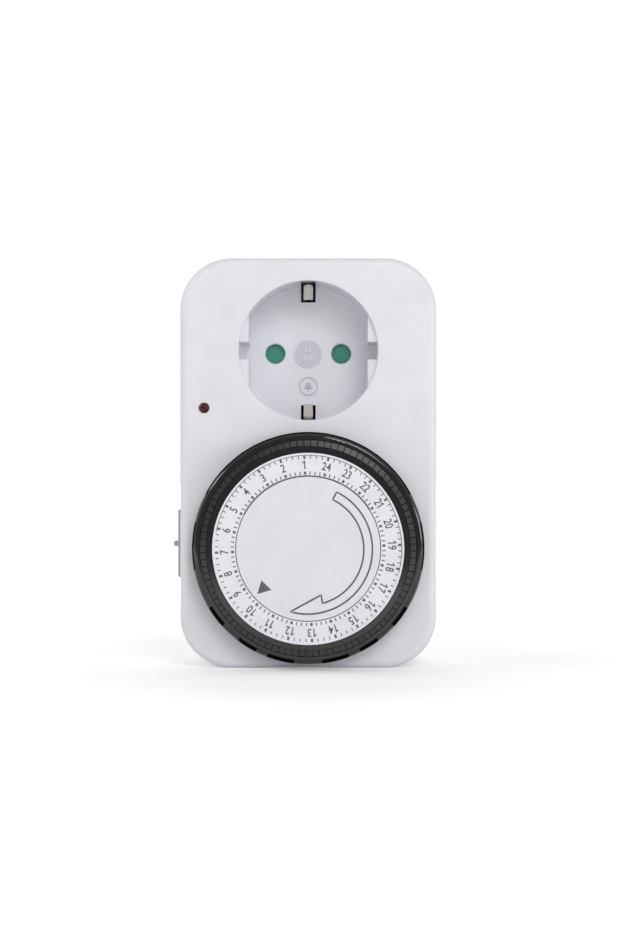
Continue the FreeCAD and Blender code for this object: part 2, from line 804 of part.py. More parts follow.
def rear_cover():
    """The back half with the plug: flats and ribs that a socket guides, and earth grooves."""
    part = new_body("rear_cover")
    case_half(part, "Rear", BACK, BACK - S.split_line, BACK)
    plug = new_sketch(part, "Plug", "XZ_Plane", -PLUG_END)
    add_circle(plug, 0, SOCKET_Z, S.plug_radius)
    feature(part, "Pad", plug, PLUG_END - INNER_BACK)
    end = PLUG_END.number
    round_edges(part, "PlugEdge", S.plug_edge_round, lambda edge: lies_at(edge, "y", end))
    flats = new_sketch(part, "PlugFlats", "XZ_Plane", -PLUG_END)
    for side in (-1, 1):
        for turn in (-1, 1):
            near = SOCKET_Z + turn * S.plug_rib_width / 2
            far = SOCKET_Z + turn * S.plug_radius
            add_rectangle(flats, side * S.plug_flat_reach, side * (S.plug_radius + S.free_gap), near, far)
    feature(part, "Pocket", flats, S.plug_length, reverse=True)
    grooves = new_sketch(part, "EarthGrooves", "XZ_Plane", -(PLUG_END - S.plug_edge_round))
    half = S.earth_groove_width / 2
    for side in (-1, 1):
        near = SOCKET_Z + side * S.earth_groove_radius
        far = SOCKET_Z + side * (S.plug_radius + S.free_gap)
        add_rectangle(grooves, -half, half, near, far)
    feature(part, "Pocket", grooves, PLUG_END - INNER_BACK, reverse=True)
    hollow_half(part, "Rear", S.split_line, INNER_BACK - S.split_line, False)
    inside = new_sketch(part, "PlugInside", "XZ_Plane", -INNER_BACK)
    add_circle(inside, 0, SOCKET_Z, S.plug_hollow_radius)
    feature(part, "Pocket", inside, PLUG_INNER_END - INNER_BACK)
    pins = new_sketch(part, "PinSeats", "XZ_Plane", -PLUG_INNER_END)
    for side in (-1, 1):
        add_circle(pins, side * HALF_SPACING, SOCKET_Z, S.plug_pin_seat_radius)
    feature(part, "Pocket", pins, S.plug_end_wall)
    sleeves = new_sketch(part, "Sleeves", "XZ_Plane", -BACK)
    for x, z in POSTS:
        add_circle(sleeves, x, z, S.sleeve_radius)
    feature(part, "Pad", sleeves, BACK - S.split_line)
    recesses = new_sketch(part, "ScrewRecesses", "XZ_Plane", -BACK)
    for x, z in POSTS:
        add_circle(recesses, x, z, S.screw_recess_radius)
    feature(part, "Pocket", recesses, S.screw_recess_depth, reverse=True)
    bores = new_sketch(part, "ScrewBores", "XZ_Plane", -BACK)
    for x, z in POSTS:
        add_circle(bores, x, z, S.screw_radius + S.screw_clearance)
    feature(part, "Pocket", bores, BACK - S.split_line, reverse=True)


def housing_screws():
    seat = BACK - S.screw_recess_depth
    screws = []
    for index, (x, z) in enumerate(POSTS):
        head = cylinder(f"ScrewHead{index}", S.screw_head_radius, seat, seat + S.screw_head_rise, x, z)
        shank = cylinder(f"ScrewShank{index}", S.screw_radius, seat - S.screw_length, seat, x, z)
        screws.append(fuse(f"Screw{index}", head, shank))
    group("housing_screws", screws)


# Plug and socket contacts

def plug_pin(name, side):
    """A round pin with a domed tip, held by its head inside the plug."""
    part = new_body(name, side * HALF_SPACING, 0, SOCKET_Z)
    profile = new_sketch(part, f"{name}Profile", "XY_Plane")
    tip = PLUG_END + S.plug_pin_length
    add_polygon(profile, [(0, PLUG_INNER_END - S.plug_pin_head), (S.plug_pin_head_radius, PLUG_INNER_END
                          - S.plug_pin_head), (S.plug_pin_head_radius, PLUG_INNER_END),
                          (S.plug_pin_seat_radius, PLUG_INNER_END), (S.plug_pin_seat_radius, PLUG_END),
                          (S.plug_pin_radius, PLUG_END), (S.plug_pin_radius, tip), (0, tip)])
    revolve(part, profile)
    end = tip.number
    round_edges(part, f"{name}Tip", S.plug_pin_radius * PIN_TIP_SHARE, lambda edge: lies_at(edge, "y", end))


def socket_contact(name, side, stem_end):
    """A sprung sleeve for a plug's pin: split lengthways, closed at its base."""
    end = S.contact_start + S.contact_length
    outer = S.contact_inner_radius + S.contact_wall
    part = new_body(name, side * HALF_SPACING, 0, SOCKET_Z)
    profile = new_sketch(part, f"{name}Profile", "XY_Plane")
    corners = [(0, end), (S.contact_inner_radius, end), (S.contact_inner_radius, S.contact_start),
               (outer, S.contact_start), (outer, end + S.contact_base)]
    if stem_end is None:
        corners.append((0, end + S.contact_base))
    else:
        corners.extend([(S.contact_stem_radius, end + S.contact_base), (S.contact_stem_radius, stem_end),
                        (0, stem_end)])
    add_polygon(profile, corners)
    revolve(part, profile)
    slit = new_sketch(part, f"{name}Slit", "XZ_Plane", -S.contact_start)
    half = S.contact_slit / 2
    add_rectangle(slit, -half, half, -outer - S.free_gap, outer + S.free_gap)
    feature(part, "Pocket", slit, S.contact_length - S.contact_slit_end)


def bent_strip(name, path, width, thickness, bend, tip_round):
    """A flat strip bent along a path of (depth, height) points, with a rounded last end."""
    points = [Vector(0, y, z) for y, z in path]
    sides = ([], [])
    for index, point in enumerate(points):
        before = (point - points[index - 1]).normalize() if index else None
        after = (points[index + 1] - point).normalize() if index + 1 < len(points) else None
        along = (before or after) + (after or before)
        along.normalize()
        normal = Vector(0, -along.z, along.y)
        reach = thickness / 2
        if before and after:
            reach = reach / abs(normal.dot(Vector(0, -before.z, before.y)))
        sides[0].append(point + normal * reach)
        sides[1].append(point - normal * reach)
    corners = sides[0] + sides[1][::-1]
    face = Part.Face(Part.makePolygon(corners + corners[:1]))
    solid = face.extrude(Vector(width, 0, 0))
    inner = [edge for edge in solid.Edges if runs_along(edge, Vector(1, 0, 0))]
    ends = [sides[0][0], sides[0][-1], sides[1][0], sides[1][-1]]
    bends = [edge for edge in inner if all(edge.distToShape(Part.Vertex(end))[0] > 0.01 for end in ends)]
    solid = solid.makeFillet(bend, bends)
    tip = [edge for edge in solid.Edges if edge.Curve.TypeId == "Part::GeomLine"
           and abs(edge.Length - thickness) < 1e-4 and lies_near(edge, points[-1])]
    solid = solid.makeFillet(tip_round, tip)
    item = doc.addObject("Part::Feature", name)
    item.Shape = solid
    item.Placement = Placement(Vector(-width / 2, 0, 0), Rotation())
    finish(item, name)


def earth_strip(name, side):
    """One strip is both the plug's side contact and the sprung clip inside the socket."""
    step_start = INNER_BACK - S.strip_step_inset
    radii = [
        (PLUG_END - S.strip_end_inset, S.strip_plug_radius),
        (step_start, S.strip_plug_radius),
        (step_start - S.strip_step_length, S.strip_run_radius),
        (FLOOR_BACK, S.strip_run_radius),
        (FRONT + S.clip_nose_depth, S.clip_nose_radius),
        (FRONT + S.clip_tip_depth, S.clip_tip_radius),
    ]
    path = [(depth.number, (SOCKET_Z + side * radius).number) for depth, radius in radii]
    bent_strip(name, path, S.strip_width.number, S.strip_thickness.number, S.strip_bend.number,
               S.clip_tip_round.number)


def earth_link():
    """The cross strip that joins both earth strips, hidden behind them."""
    reach = S.strip_run_radius - S.strip_thickness / 2
    half = S.strip_width / 2 - S.link_margin
    start = S.contact_start + S.link_margin
    link = box("earth_link", (-half, half), (start, start + S.link_thickness),
               (SOCKET_Z - reach, SOCKET_Z + reach))
    finish(link, "earth_link")


def safety_shutter():
    """A sliding plate that covers both pin holes until a plug's two ramps push it aside."""
    front = FLOOR_BACK + S.shutter_gap
    half = S.shutter_height / 2
    left = -HALF_SPACING - S.shutter_travel - S.shutter_window_radius - S.shutter_rim
    right = HALF_SPACING + S.pin_hole_radius + S.shutter_rim
    part = new_body("safety_shutter")
    plate = new_sketch(part, "ShutterPlate", "XZ_Plane", -(front + S.shutter_thickness))
    add_rectangle(plate, left, right, SOCKET_Z - half, SOCKET_Z + half)
    feature(part, "Pad", plate, S.shutter_thickness)
    windows = new_sketch(part, "ShutterWindows", "XZ_Plane", -front)
    for side in (-1, 1):
        add_circle(windows, side * HALF_SPACING - S.shutter_travel, SOCKET_Z, S.shutter_window_radius)
    feature(part, "Pocket", windows, S.shutter_thickness)
    return right


def shutter_spring(shutter_end):
    """A leaf that is pressed flat when the shutter slides, and pushes it back."""
    y = (FLOOR_BACK + S.shutter_gap + S.shutter_thickness / 2).number
    start = shutter_end.number + S.spring_thickness.number
    reach = S.spring_length.number
    centre = SOCKET_Z.number
    half = S.spring_reach.number / 2
    gap = S.shutter_gap.number
    path = [(start, centre - half), (start + gap, centre), (start + reach / 2, centre + half),
            (start + reach, centre)]
    flat = [Vector(x, 0, z) for x, z in path]
    edges = [Part.makeLine(flat[index], flat[index + 1]) for index in range(len(flat) - 1)]
    blades = []
    thick, width = S.spring_thickness.number, S.spring_width.number
    lap = thick / 3
    for edge in edges:
        blade = Part.makeBox(edge.Length + lap, width, thick)
        direction = edge.tangentAt(edge.FirstParameter)
        angle = math.degrees(math.atan2(-direction.z, direction.x))
        blade.Placement = Placement(edge.Vertexes[0].Point, Rotation(Vector(0, 1, 0), angle))
        blades.append(blade)
    ribbon = blades[0].multiFuse(blades[1:])
    item = doc.addObject("Part::Feature", "shutter_spring")
    item.Shape = ribbon
    item.Placement = Placement(Vector(0, y - width / 2, 0), Rotation())
    finish(item, "shutter_spring")


def shutter_cover(shutter_end):
    """The frame screwed behind the socket's floor, which keeps the shutter in its track."""
    front = FLOOR_BACK + S.shutter_gap * 2 + S.shutter_thickness
    half = S.shutter_height / 2 + S.shutter_cover_margin
    right = shutter_end + S.spring_length + S.free_gap * 2 + S.shutter_stop_width
    track = S.shutter_track_length / 2
    part = new_body("shutter_cover")
    plate = new_sketch(part, "CoverPlate", "XZ_Plane", -(front + S.shutter_cover_thickness))
    add_rectangle(plate, -right, right, SOCKET_Z - half, SOCKET_Z + half)
    feature(part, "Pad", plate, S.shutter_cover_thickness)
    rails = new_sketch(part, "CoverRails", "XZ_Plane", -front)
    for side in (-1, 1):
        near = SOCKET_Z + side * (S.shutter_height / 2 + S.free_gap)
        far = SOCKET_Z + side * half
        add_rectangle(rails, -track, track, near, far)
    add_rectangle(rails, right - S.shutter_stop_width, right, SOCKET_Z - half, SOCKET_Z + half)
    feature(part, "Pad", rails, front - FLOOR_BACK)
    holes = new_sketch(part, "CoverHoles", "XZ_Plane", -front)
    for side in (-1, 1):
        add_circle(holes, side * HALF_SPACING, SOCKET_Z, S.shutter_window_radius)
    feature(part, "Pocket", holes, S.shutter_cover_thickness)


# Dial

def number_dial():
    """The white drum with the printed hours: rim, face, web, wall and hub."""
    part = new_body("number_dial", 0, 0, S.dial_height)
    profile = new_sketch(part, "DialProfile", "XY_Plane")
    bore = S.spindle_radius + S.running_fit
    web_top = S.dial_web_rise + S.dial_web
    wall_inner = S.face_radius - S.dial_wall
    rim_inner = S.face_radius - S.rim_width
    corners = [
        (bore, -S.hub_end), (S.hub_radius, -S.hub_end), (S.hub_radius, S.dial_web_rise),
        (wall_inner, S.dial_web_rise), (wall_inner, WEB_TOP), (S.face_radius, WEB_TOP),
        (S.face_radius, S.face_rise + S.rim_rise), (rim_inner, S.face_rise + S.rim_rise),
        (rim_inner, S.face_rise), (S.face_inner_radius, S.face_rise), (S.face_inner_radius, web_top),
        (bore, web_top),
    ]
    add_polygon(profile, [(radius, rise(height)) for radius, height in corners])
    revolve(part, profile)


def centre_disc():
    """The still disc inside the number ring, on the end of the spindle."""
    part = new_body("centre_disc", 0, 0, S.dial_height)
    profile = new_sketch(part, "DiscProfile", "XY_Plane")
    bottom = S.face_rise - S.disc_thickness
    boss = S.dial_web_rise + S.dial_web + S.free_gap
    stub_end = S.face_rise - S.disc_thickness / 2
    bore = S.spindle_radius + S.disc_fit
    corners = [
        (0, S.face_rise), (S.disc_radius, S.face_rise), (S.disc_radius, bottom),
        (S.disc_boss_radius, bottom), (S.disc_boss_radius, boss), (bore, boss), (bore, bottom),
        (S.disc_stub_radius, bottom), (S.disc_stub_radius, stub_end), (0, stub_end),
    ]
    add_polygon(profile, [(radius, rise(height)) for radius, height in corners])
    revolve(part, profile)


def dial_spindle():
    part = new_body("dial_spindle", 0, 0, S.dial_height)
    profile = new_sketch(part, "SpindleProfile", "XY_Plane")
    shoulder = rise(S.face_rise - S.disc_thickness)
    tip = rise(S.face_rise - S.disc_thickness / 2)
    collar = PLATE_FRONT - S.free_gap
    add_polygon(profile, [(0, PLATE_BACK), (S.spindle_radius, PLATE_BACK), (S.spindle_radius, PLATE_FRONT),
                          (S.spindle_collar_radius, PLATE_FRONT), (S.spindle_collar_radius, collar),
                          (S.spindle_radius, collar),
                          (S.spindle_radius, shoulder), (S.disc_stub_radius, shoulder),
                          (S.disc_stub_radius, tip), (0, tip)])
    revolve(part, profile)


def tappet_carrier():
    """The dark ring that turns with the dial: a stepped collar, a round skirt, and the tappets' floor."""
    turned = Rotation(Vector(0, 1, 0), -S.first_hour_angle.number)
    part = new_body("tappet_carrier", 0, 0, S.dial_height, turned)
    profile = new_sketch(part, "CarrierProfile", "XY_Plane")
    near = COLLAR_OUTER
    far = FOOT_OUTER + S.foot_clearance
    corners = [
        (CARRIER_INNER, S.carrier_web_rise), (SKIRT_INNER, S.carrier_web_rise),
        (SKIRT_INNER, S.skirt_rise), (SKIRT_RADIUS, S.skirt_rise),
        (SKIRT_RADIUS, S.skirt_top), (SKIRT_INNER, S.skirt_top),
        (SKIRT_INNER, WEB_TOP), (near, WEB_TOP),
    ]
    width = S.collar_width / S.collar_steps
    for stair in range(int(S.collar_steps.number), 0, -1):
        height = S.collar_rise - S.collar_step_drop * (stair - 1)
        corners.append((COLLAR_INNER + width * stair, height))
        corners.append((COLLAR_INNER + width * (stair - 1), height))
    corners += [(COLLAR_INNER, WEB_TOP), (CARRIER_INNER, WEB_TOP)]
    add_polygon(profile, [(radius, rise(height)) for radius, height in corners])
    revolve(part, profile)
    top = rise(S.skirt_top)
    round_edges(part, "Shoulder", S.skirt_round, lambda edge: circle_at(edge, top, SKIRT_RADIUS))
    windows = new_sketch(part, "FootWindows", "XZ_Plane", -rise(WEB_TOP))
    half_angle = TAPPET_PITCH * (TAPPETS_PER_HOUR - 1) / 2 + S.tappet_foot_angle / 2 + S.window_end_play
    centre = 90 + TAPPET_PITCH * TAPPETS_PER_HOUR / 2
    turns = [centre - half_angle, centre, centre + half_angle]
    corners = [(near * cosine(turn), near * sine(turn)) for turn in turns]
    corners += [(far * cosine(turn), far * sine(turn)) for turn in turns[::-1]]
    add_polygon(windows, corners)
    pocket = feature(part, "Pocket", windows, S.carrier_web)
    pattern(part, [pocket], S.hour_count, windows, "N_Axis")


def tappet_group(index):
    """The quarter-hour tappets of one hour: heads between collar and skirt, and feet below them."""
    hour = index * 360 / S.hour_count.number
    angle = S.first_hour_angle.number + hour + TAPPET_PITCH.number / 2
    name = f"tappets_hour_{index + 1:02d}"
    turned = Rotation(Vector(0, 1, 0), -angle) * Rotation(Vector(0, 1, 0), -90)
    part = new_body(name, 0, 0, S.dial_height, turned)
    head = new_sketch(part, f"TappetHead{index}", "XY_Plane")
    corners = [(FOOT_INNER, HEAD_BOTTOM), (HEAD_OUTER, HEAD_BOTTOM),
               (HEAD_OUTER, S.tappet_rise - S.tappet_slope), (FOOT_INNER, S.tappet_rise)]
    add_polygon(head, [(radius, rise(height)) for radius, height in corners])
    head_turned = revolve(part, head, S.tappet_head_angle)
    foot = new_sketch(part, f"TappetFoot{index}", "XY_Plane")
    add_rectangle(foot, FOOT_INNER, FOOT_OUTER, rise(HEAD_BOTTOM + S.foot_clearance),
                  rise(FOOT_END))
    foot_turned = revolve(part, foot, S.tappet_foot_angle)
    span = TAPPET_PITCH * (TAPPETS_PER_HOUR - 1)
    made = pattern(part, [head_turned, foot_turned], TAPPETS_PER_HOUR, head, "V_Axis", span)
    made.Reversed = True


# Gears

def gear(name, teeth, x, z, phase, bore, start, thickness):
    """A spur gear: a root disc and one tooth, repeated round it."""
    part = new_body(name, x, 0, z, Rotation(Vector(0, 1, 0), -phase))
    pitch_radius = S.gear_module * teeth / 2
    root = pitch_radius - S.gear_module * ROOT_DEPTH
    tip = pitch_radius + S.gear_module
    half = S.gear_module * (math.pi / 4) - S.tooth_backlash / 2
    disc = new_sketch(part, f"{name}Disc", "XZ_Plane", -(start + thickness))
    add_circle(disc, 0, 0, root)
    if bore is not None:
        add_circle(disc, 0, 0, bore)
    feature(part, "Pad", disc, thickness)
    tooth = new_sketch(part, f"{name}Tooth", "XZ_Plane", -(start + thickness))
    base, flare, crest = root - S.tooth_lap, half + S.tooth_flare, half * S.tooth_tip_share
    add_polygon(tooth, [(base, -flare), (pitch_radius, -half), (tip, -crest),
                        (tip, crest), (pitch_radius, half), (base, flare)])
    made = feature(part, "Pad", tooth, thickness)
    pattern(part, [made], teeth, disc, "N_Axis")
    return part


def mesh_phase(bearing, phase, teeth, own_teeth):
    """The turn that puts a gap of this gear where the other gear's tooth meets it."""
    other = (bearing - phase) * teeth / 360
    return bearing + 180 - (0.5 - other) * 360 / own_teeth


def gears():
    dial_teeth, idler_teeth = S.dial_gear_teeth.number, S.idler_teeth.number
    pinion_teeth = S.pinion_teeth.number
    dial = gear("dial_gear", S.dial_gear_teeth, 0, S.dial_height, 0, S.hub_radius, GEAR_FRONT,
                S.gear_thickness)
    holes = new_sketch(dial, "DialGearHole", "XZ_Plane", -GEAR_FRONT)
    add_circle(holes, S.dial_gear_hole_circle, 0, S.dial_gear_hole_radius)
    made = feature(dial, "Pocket", holes, S.gear_thickness)
    pattern(dial, [made], S.dial_gear_holes, holes, "N_Axis")
    idler_bearing = math.degrees(math.atan2(IDLER_RISE.number, IDLER_X.number))
    idler_phase = mesh_phase(idler_bearing, 0, dial_teeth, idler_teeth)
    gear("idler_gear", S.idler_teeth, IDLER_X, IDLER_Z, idler_phase, S.axle_radius + S.running_fit,
         GEAR_FRONT, S.gear_thickness)
    pinion_phase = mesh_phase(S.pinion_bearing.number, idler_phase, idler_teeth, pinion_teeth)
    pinion = gear("motor_pinion", S.pinion_teeth, PINION_X, PINION_Z, pinion_phase, None, GEAR_FRONT,
                  S.gear_thickness)
    lid_back = PLATE_BACK + S.motor_lid_thickness
    shaft = new_sketch(pinion, "PinionShaft", "XZ_Plane", S.running_fit - lid_back)
    add_circle(shaft, 0, 0, S.pinion_shaft_radius)
    feature(pinion, "Pad", shaft, lid_back - GEAR_BACK)


def idler_axle():
    """A headed pin in the movement plate that the idler turns on."""
    part = new_body("idler_axle", IDLER_X, 0, IDLER_Z)
    profile = new_sketch(part, "AxleProfile", "XY_Plane")
    head_back = GEAR_FRONT - S.axle_play
    head_front = INNER_FRONT + S.free_gap
    collar = GEAR_BACK + S.axle_play
    wide = S.axle_radius + S.axle_collar
    add_polygon(profile, [(0, PLATE_BACK), (S.axle_radius, PLATE_BACK), (S.axle_radius, PLATE_FRONT),
                          (wide, PLATE_FRONT), (wide, collar), (S.axle_radius, collar),
                          (S.axle_radius, head_back), (wide, head_back), (wide, head_front),
                          (0, head_front)])
    revolve(part, profile)


# Movement

def movement_plate():
    """The metal plate on the front wall's posts that carries spindle, axle and motor."""
    part = new_body("movement_plate")
    outline = new_sketch(part, "PlateOutline", "XZ_Plane", -PLATE_BACK)
    margin = S.plate_margin
    (left_x, left_z), (right_x, right_z), (low_x, low_z) = PLATE_POSTS
    add_polygon(outline, [(left_x - margin, left_z + margin), (left_x - margin, left_z - margin * 2),
                          (left_x + margin / 2, S.dial_height - margin * 3),
                          (low_x - margin * 1.5, low_z - margin), (low_x + margin * 1.5, low_z - margin),
                          (right_x + margin, right_z - margin), (right_x + margin, IDLER_Z),
                          (PINION_X + margin, PINION_Z + margin), (PINION_X - margin, PINION_Z + margin)])
    feature(part, "Pad", outline, S.plate_thickness)
    round_edges(part, "PlateCorners", S.plate_corner_round, lambda edge: runs_along(edge, Vector(0, 1, 0)))
    holes = new_sketch(part, "PlateHoles", "XZ_Plane", -PLATE_FRONT)
    add_circle(holes, 0, S.dial_height, S.spindle_radius)
    add_circle(holes, IDLER_X, IDLER_Z, S.axle_radius)
    add_circle(holes, PINION_X, PINION_Z, S.pinion_shaft_radius + S.pinion_shaft_play)
    for x, z in PLATE_POSTS + MOTOR_EARS:
        add_circle(holes, x, z, S.small_screw_radius)
    feature(part, "Pocket", holes, S.plate_thickness)


def motor():
    """The synchronous motor: a drawn can and a lid with two ears."""
    lid_back = PLATE_BACK + S.motor_lid_thickness
    lid = new_body("motor_lid")
    disc = new_sketch(lid, "LidDisc", "XZ_Plane", -lid_back)
    add_circle(disc, S.motor_x, MOTOR_Z, S.motor_radius)
    feature(lid, "Pad", disc, S.motor_lid_thickness)
    ears = new_sketch(lid, "LidEars", "XZ_Plane", -lid_back)
    half = S.motor_ear_width / 2
    reach = S.motor_ear_reach + half
    corners = [(reach, half), (-reach, half), (-reach, -half), (reach, -half)]
    add_polygon(ears, [(S.motor_x + along * EAR_ACROSS + aside * EAR_DOWN,
                        MOTOR_Z - along * EAR_DOWN + aside * EAR_ACROSS) for along, aside in corners])
    feature(lid, "Pad", ears, S.motor_lid_thickness)
    holes = new_sketch(lid, "LidHoles", "XZ_Plane", -PLATE_BACK)
    for x, z in MOTOR_EARS:
        add_circle(holes, x, z, S.small_screw_radius)
    add_circle(holes, PINION_X, PINION_Z, S.pinion_shaft_radius + S.running_fit)
    feature(lid, "Pocket", holes, S.motor_lid_thickness)
    can = new_body("motor_can")
    drum = new_sketch(can, "CanDrum", "XZ_Plane", -(lid_back + S.motor_depth))
    add_circle(drum, S.motor_x, MOTOR_Z, S.motor_radius)
    feature(can, "Pad", drum, S.motor_depth)
    end = (lid_back + S.motor_depth).number
    round_edges(can, "CanRound", S.motor_round, lambda edge: lies_at(edge, "y", end))


def movement_screws():
    screws = []
    lid_back = PLATE_BACK + S.motor_lid_thickness
    seats = [(x, z, PLATE_BACK) for x, z in PLATE_POSTS] + [(x, z, lid_back) for x, z in MOTOR_EARS]
    for index, (x, z, seat) in enumerate(seats):
        head = cylinder(f"SmallHead{index}", S.small_screw_head, seat, seat + S.small_screw_head_rise, x, z)
        shank_start = PLATE_FRONT - S.small_screw_bite if index < len(PLATE_POSTS) else PLATE_FRONT
        shank = cylinder(f"SmallShank{index}", S.small_screw_radius, shank_start, seat, x, z)
        screws.append(fuse(f"SmallScrew{index}", head, shank))
    group("movement_screws", screws)


# Time switch

def switch_follower():
    """The lever whose nose stands under the tappets: a pressed tappet pushes it in."""
    part = new_body("switch_follower")
    arm = new_sketch(part, "FollowerArm", "YZ_Plane", FOLLOWER_X)
    front = FOLLOWER_AXIS_Y - S.follower_arm
    back = FOLLOWER_AXIS_Y + S.follower_arm / 4
    nose = rise(S.follower_nose_rise)
    bevel = nose + S.follower_nose_bevel
    half = S.follower_nose_height / 2
    tip = S.follower_tip_height / 2
    add_polygon(arm, [(back, FOLLOWER_AXIS_Z), (front, FOLLOWER_AXIS_Z), (front, NOSE_Z + half),
                      (bevel, NOSE_Z + half), (nose, NOSE_Z + tip), (nose, NOSE_Z - tip),
                      (bevel, NOSE_Z - half), (back, NOSE_Z - half), (back + S.follower_heel, NOSE_Z),
                      (back, NOSE_Z + half)])
    feature(part, "Pad", arm, S.follower_width, middle=True)
    eye = new_sketch(part, "FollowerEye", "YZ_Plane", FOLLOWER_X)
    add_circle(eye, FOLLOWER_AXIS_Y, FOLLOWER_AXIS_Z, S.follower_eye_radius)
    feature(part, "Pad", eye, S.follower_width, middle=True)
    hole = new_sketch(part, "FollowerHole", "YZ_Plane", FOLLOWER_X + S.follower_width)
    add_circle(hole, FOLLOWER_AXIS_Y, FOLLOWER_AXIS_Z, S.follower_pin_radius + S.running_fit)
    feature(part, "Pocket", hole, S.follower_width * 2)


def follower_pin():
    reach = S.follower_width / 2 + S.free_gap + S.lug_width
    pin = doc.addObject("Part::Cylinder", "follower_pin")
    pin.setExpression("Radius", S.follower_pin_radius.text)
    pin.setExpression("Height", (reach * 2).text)
    place(pin, FOLLOWER_X - reach, FOLLOWER_AXIS_Y, FOLLOWER_AXIS_Z, ALONG_X)
    finish(pin, "follower_pin")


def microswitch():
    """The snap switch that carries the load, and the leaf that works it from a rolled hinge."""
    roll = S.lever_roll_radius
    body = box("SwitchBlock", (SWITCH_LEFT, SWITCH_RIGHT), (SWITCH_FRONT, SWITCH_BACK),
               (SWITCH_LOW, SWITCH_HIGH))
    hinge = box("SwitchHinge", (SWITCH_LEFT, SWITCH_RIGHT), (LEVER_Y, SWITCH_FRONT),
                (LEVER_Z + roll + S.free_gap, SWITCH_HIGH))
    joined = fuse("microswitch_body", body, hinge)
    finish(joined, "microswitch_body")
    half = S.switch_width / 2 - S.lever_inset
    leaf = box("SwitchLeaf", (FOLLOWER_X - half, FOLLOWER_X + half),
               (LEVER_Y, LEVER_Y + S.lever_thickness), (SWITCH_LOW + S.free_gap, LEVER_Z))
    rolled = doc.addObject("Part::Cylinder", "LeafRoll")
    rolled.setExpression("Radius", roll.text)
    rolled.setExpression("Height", (half * 2).text)
    place(rolled, FOLLOWER_X - half, LEVER_Y + S.lever_thickness / 2, LEVER_Z, ALONG_X)
    lever = fuse("microswitch_lever", leaf, rolled)
    finish(lever, "microswitch_lever")


def busbars():
    """Flat copper strips: plug pin to switch, and switch to socket contact."""
    thick = S.busbar_thickness
    outer = -HALF_SPACING - S.busbar_width / 2
    tab = (SOCKET_Z - S.busbar_tab_low, SOCKET_Z + S.busbar_tab_high)
    foot_left, foot_right = FOLLOWER_X - S.busbar_foot_width / 2, FOLLOWER_X + S.busbar_foot_width / 2
    near = S.strip_width / 2 + S.free_gap
    far = near + S.busbar_narrow
    base = S.contact_start + S.contact_length + S.contact_base
    low = SOCKET_Z - S.plug_hollow_radius + S.busbar_margin
    run = INNER_BACK - S.busbar_back_gap
    foot_z = SWITCH_HIGH - S.busbar_foot_width / 2
    live = fuse(
        "live_busbar",
        box("LiveTab", (outer, -near), (base, base + thick), tab),
        box("LiveDrop", (-far, -near), (base, base + thick), (low, SOCKET_Z)),
        box("LiveStep", (-far, -near), (run, base + thick), (low, low + thick)),
        box("LiveRun", (-far, -near), (run, run + thick), (foot_z, low + thick)),
        box("LiveSide", (foot_left, -near), (run, run + thick), (foot_z, foot_z + S.busbar_foot_length)),
        box("LiveFoot", (foot_left, foot_right), (SWITCH_BACK, run + thick), (foot_z, foot_z + thick)),
    )
    finish(live, "live_busbar")
    head = PLUG_INNER_END - S.plug_pin_head
    low = low + thick * 1.5
    run = run - S.busbar_spacing
    foot_z = SWITCH_LOW + S.busbar_foot_width
    feed = fuse(
        "live_feed_strip",
        box("FeedTab", (outer, far), (head - thick, head), tab),
        box("FeedDrop", (near, far), (head - thick, head), (low, SOCKET_Z)),
        box("FeedStep", (near, far), (run, head), (low, low + thick)),
        box("FeedRun", (near, far), (run, run + thick), (foot_z, low + thick)),
        box("FeedSide", (foot_left, far), (run, run + thick), (foot_z, foot_z + S.busbar_foot_length)),
        box("FeedFoot", (foot_left, foot_right), (SWITCH_BACK, run + thick), (foot_z, foot_z + thick)),
    )
    finish(feed, "live_feed_strip")


# Lamp

def indicator():
    """The red lamp on its small board, with its series resistor."""
    part = new_body("indicator_lamp", LAMP_X, 0, LAMP_Z)
    profile = new_sketch(part, "LampProfile", "XY_Plane")
    dome = rise(S.lamp_rise)
    flange = INNER_FRONT + S.lamp_flange_thickness
    wide = S.lamp_radius + S.lamp_flange
    add_polygon(profile, [(0, BOARD_FRONT), (S.lamp_stem_radius, BOARD_FRONT), (S.lamp_stem_radius, flange),
                          (wide, flange), (wide, INNER_FRONT), (S.lamp_radius, INNER_FRONT),
                          (S.lamp_radius, dome), (0, dome)])
    revolve(part, profile)
    end = dome.number
    round_edges(part, "LampDome", S.lamp_radius * DOME_SHARE, lambda edge: lies_at(edge, "y", end))
    half = S.board_width / 2
    board = box("circuit_board", (BOARD_X - half, BOARD_X + half), (BOARD_FRONT, BOARD_BACK),
                (BOARD_LOW, BOARD_LOW + S.board_height))
    finish(board, "circuit_board")
    resistor = doc.addObject("Part::Cylinder", "lamp_resistor")
    resistor.setExpression("Radius", S.resistor_radius.text)
    resistor.setExpression("Height", S.resistor_length.text)
    place(resistor, BOARD_X, BOARD_BACK + S.resistor_radius, LAMP_Z + S.resistor_rise)
    finish(resistor, "lamp_resistor")


# Mode switch

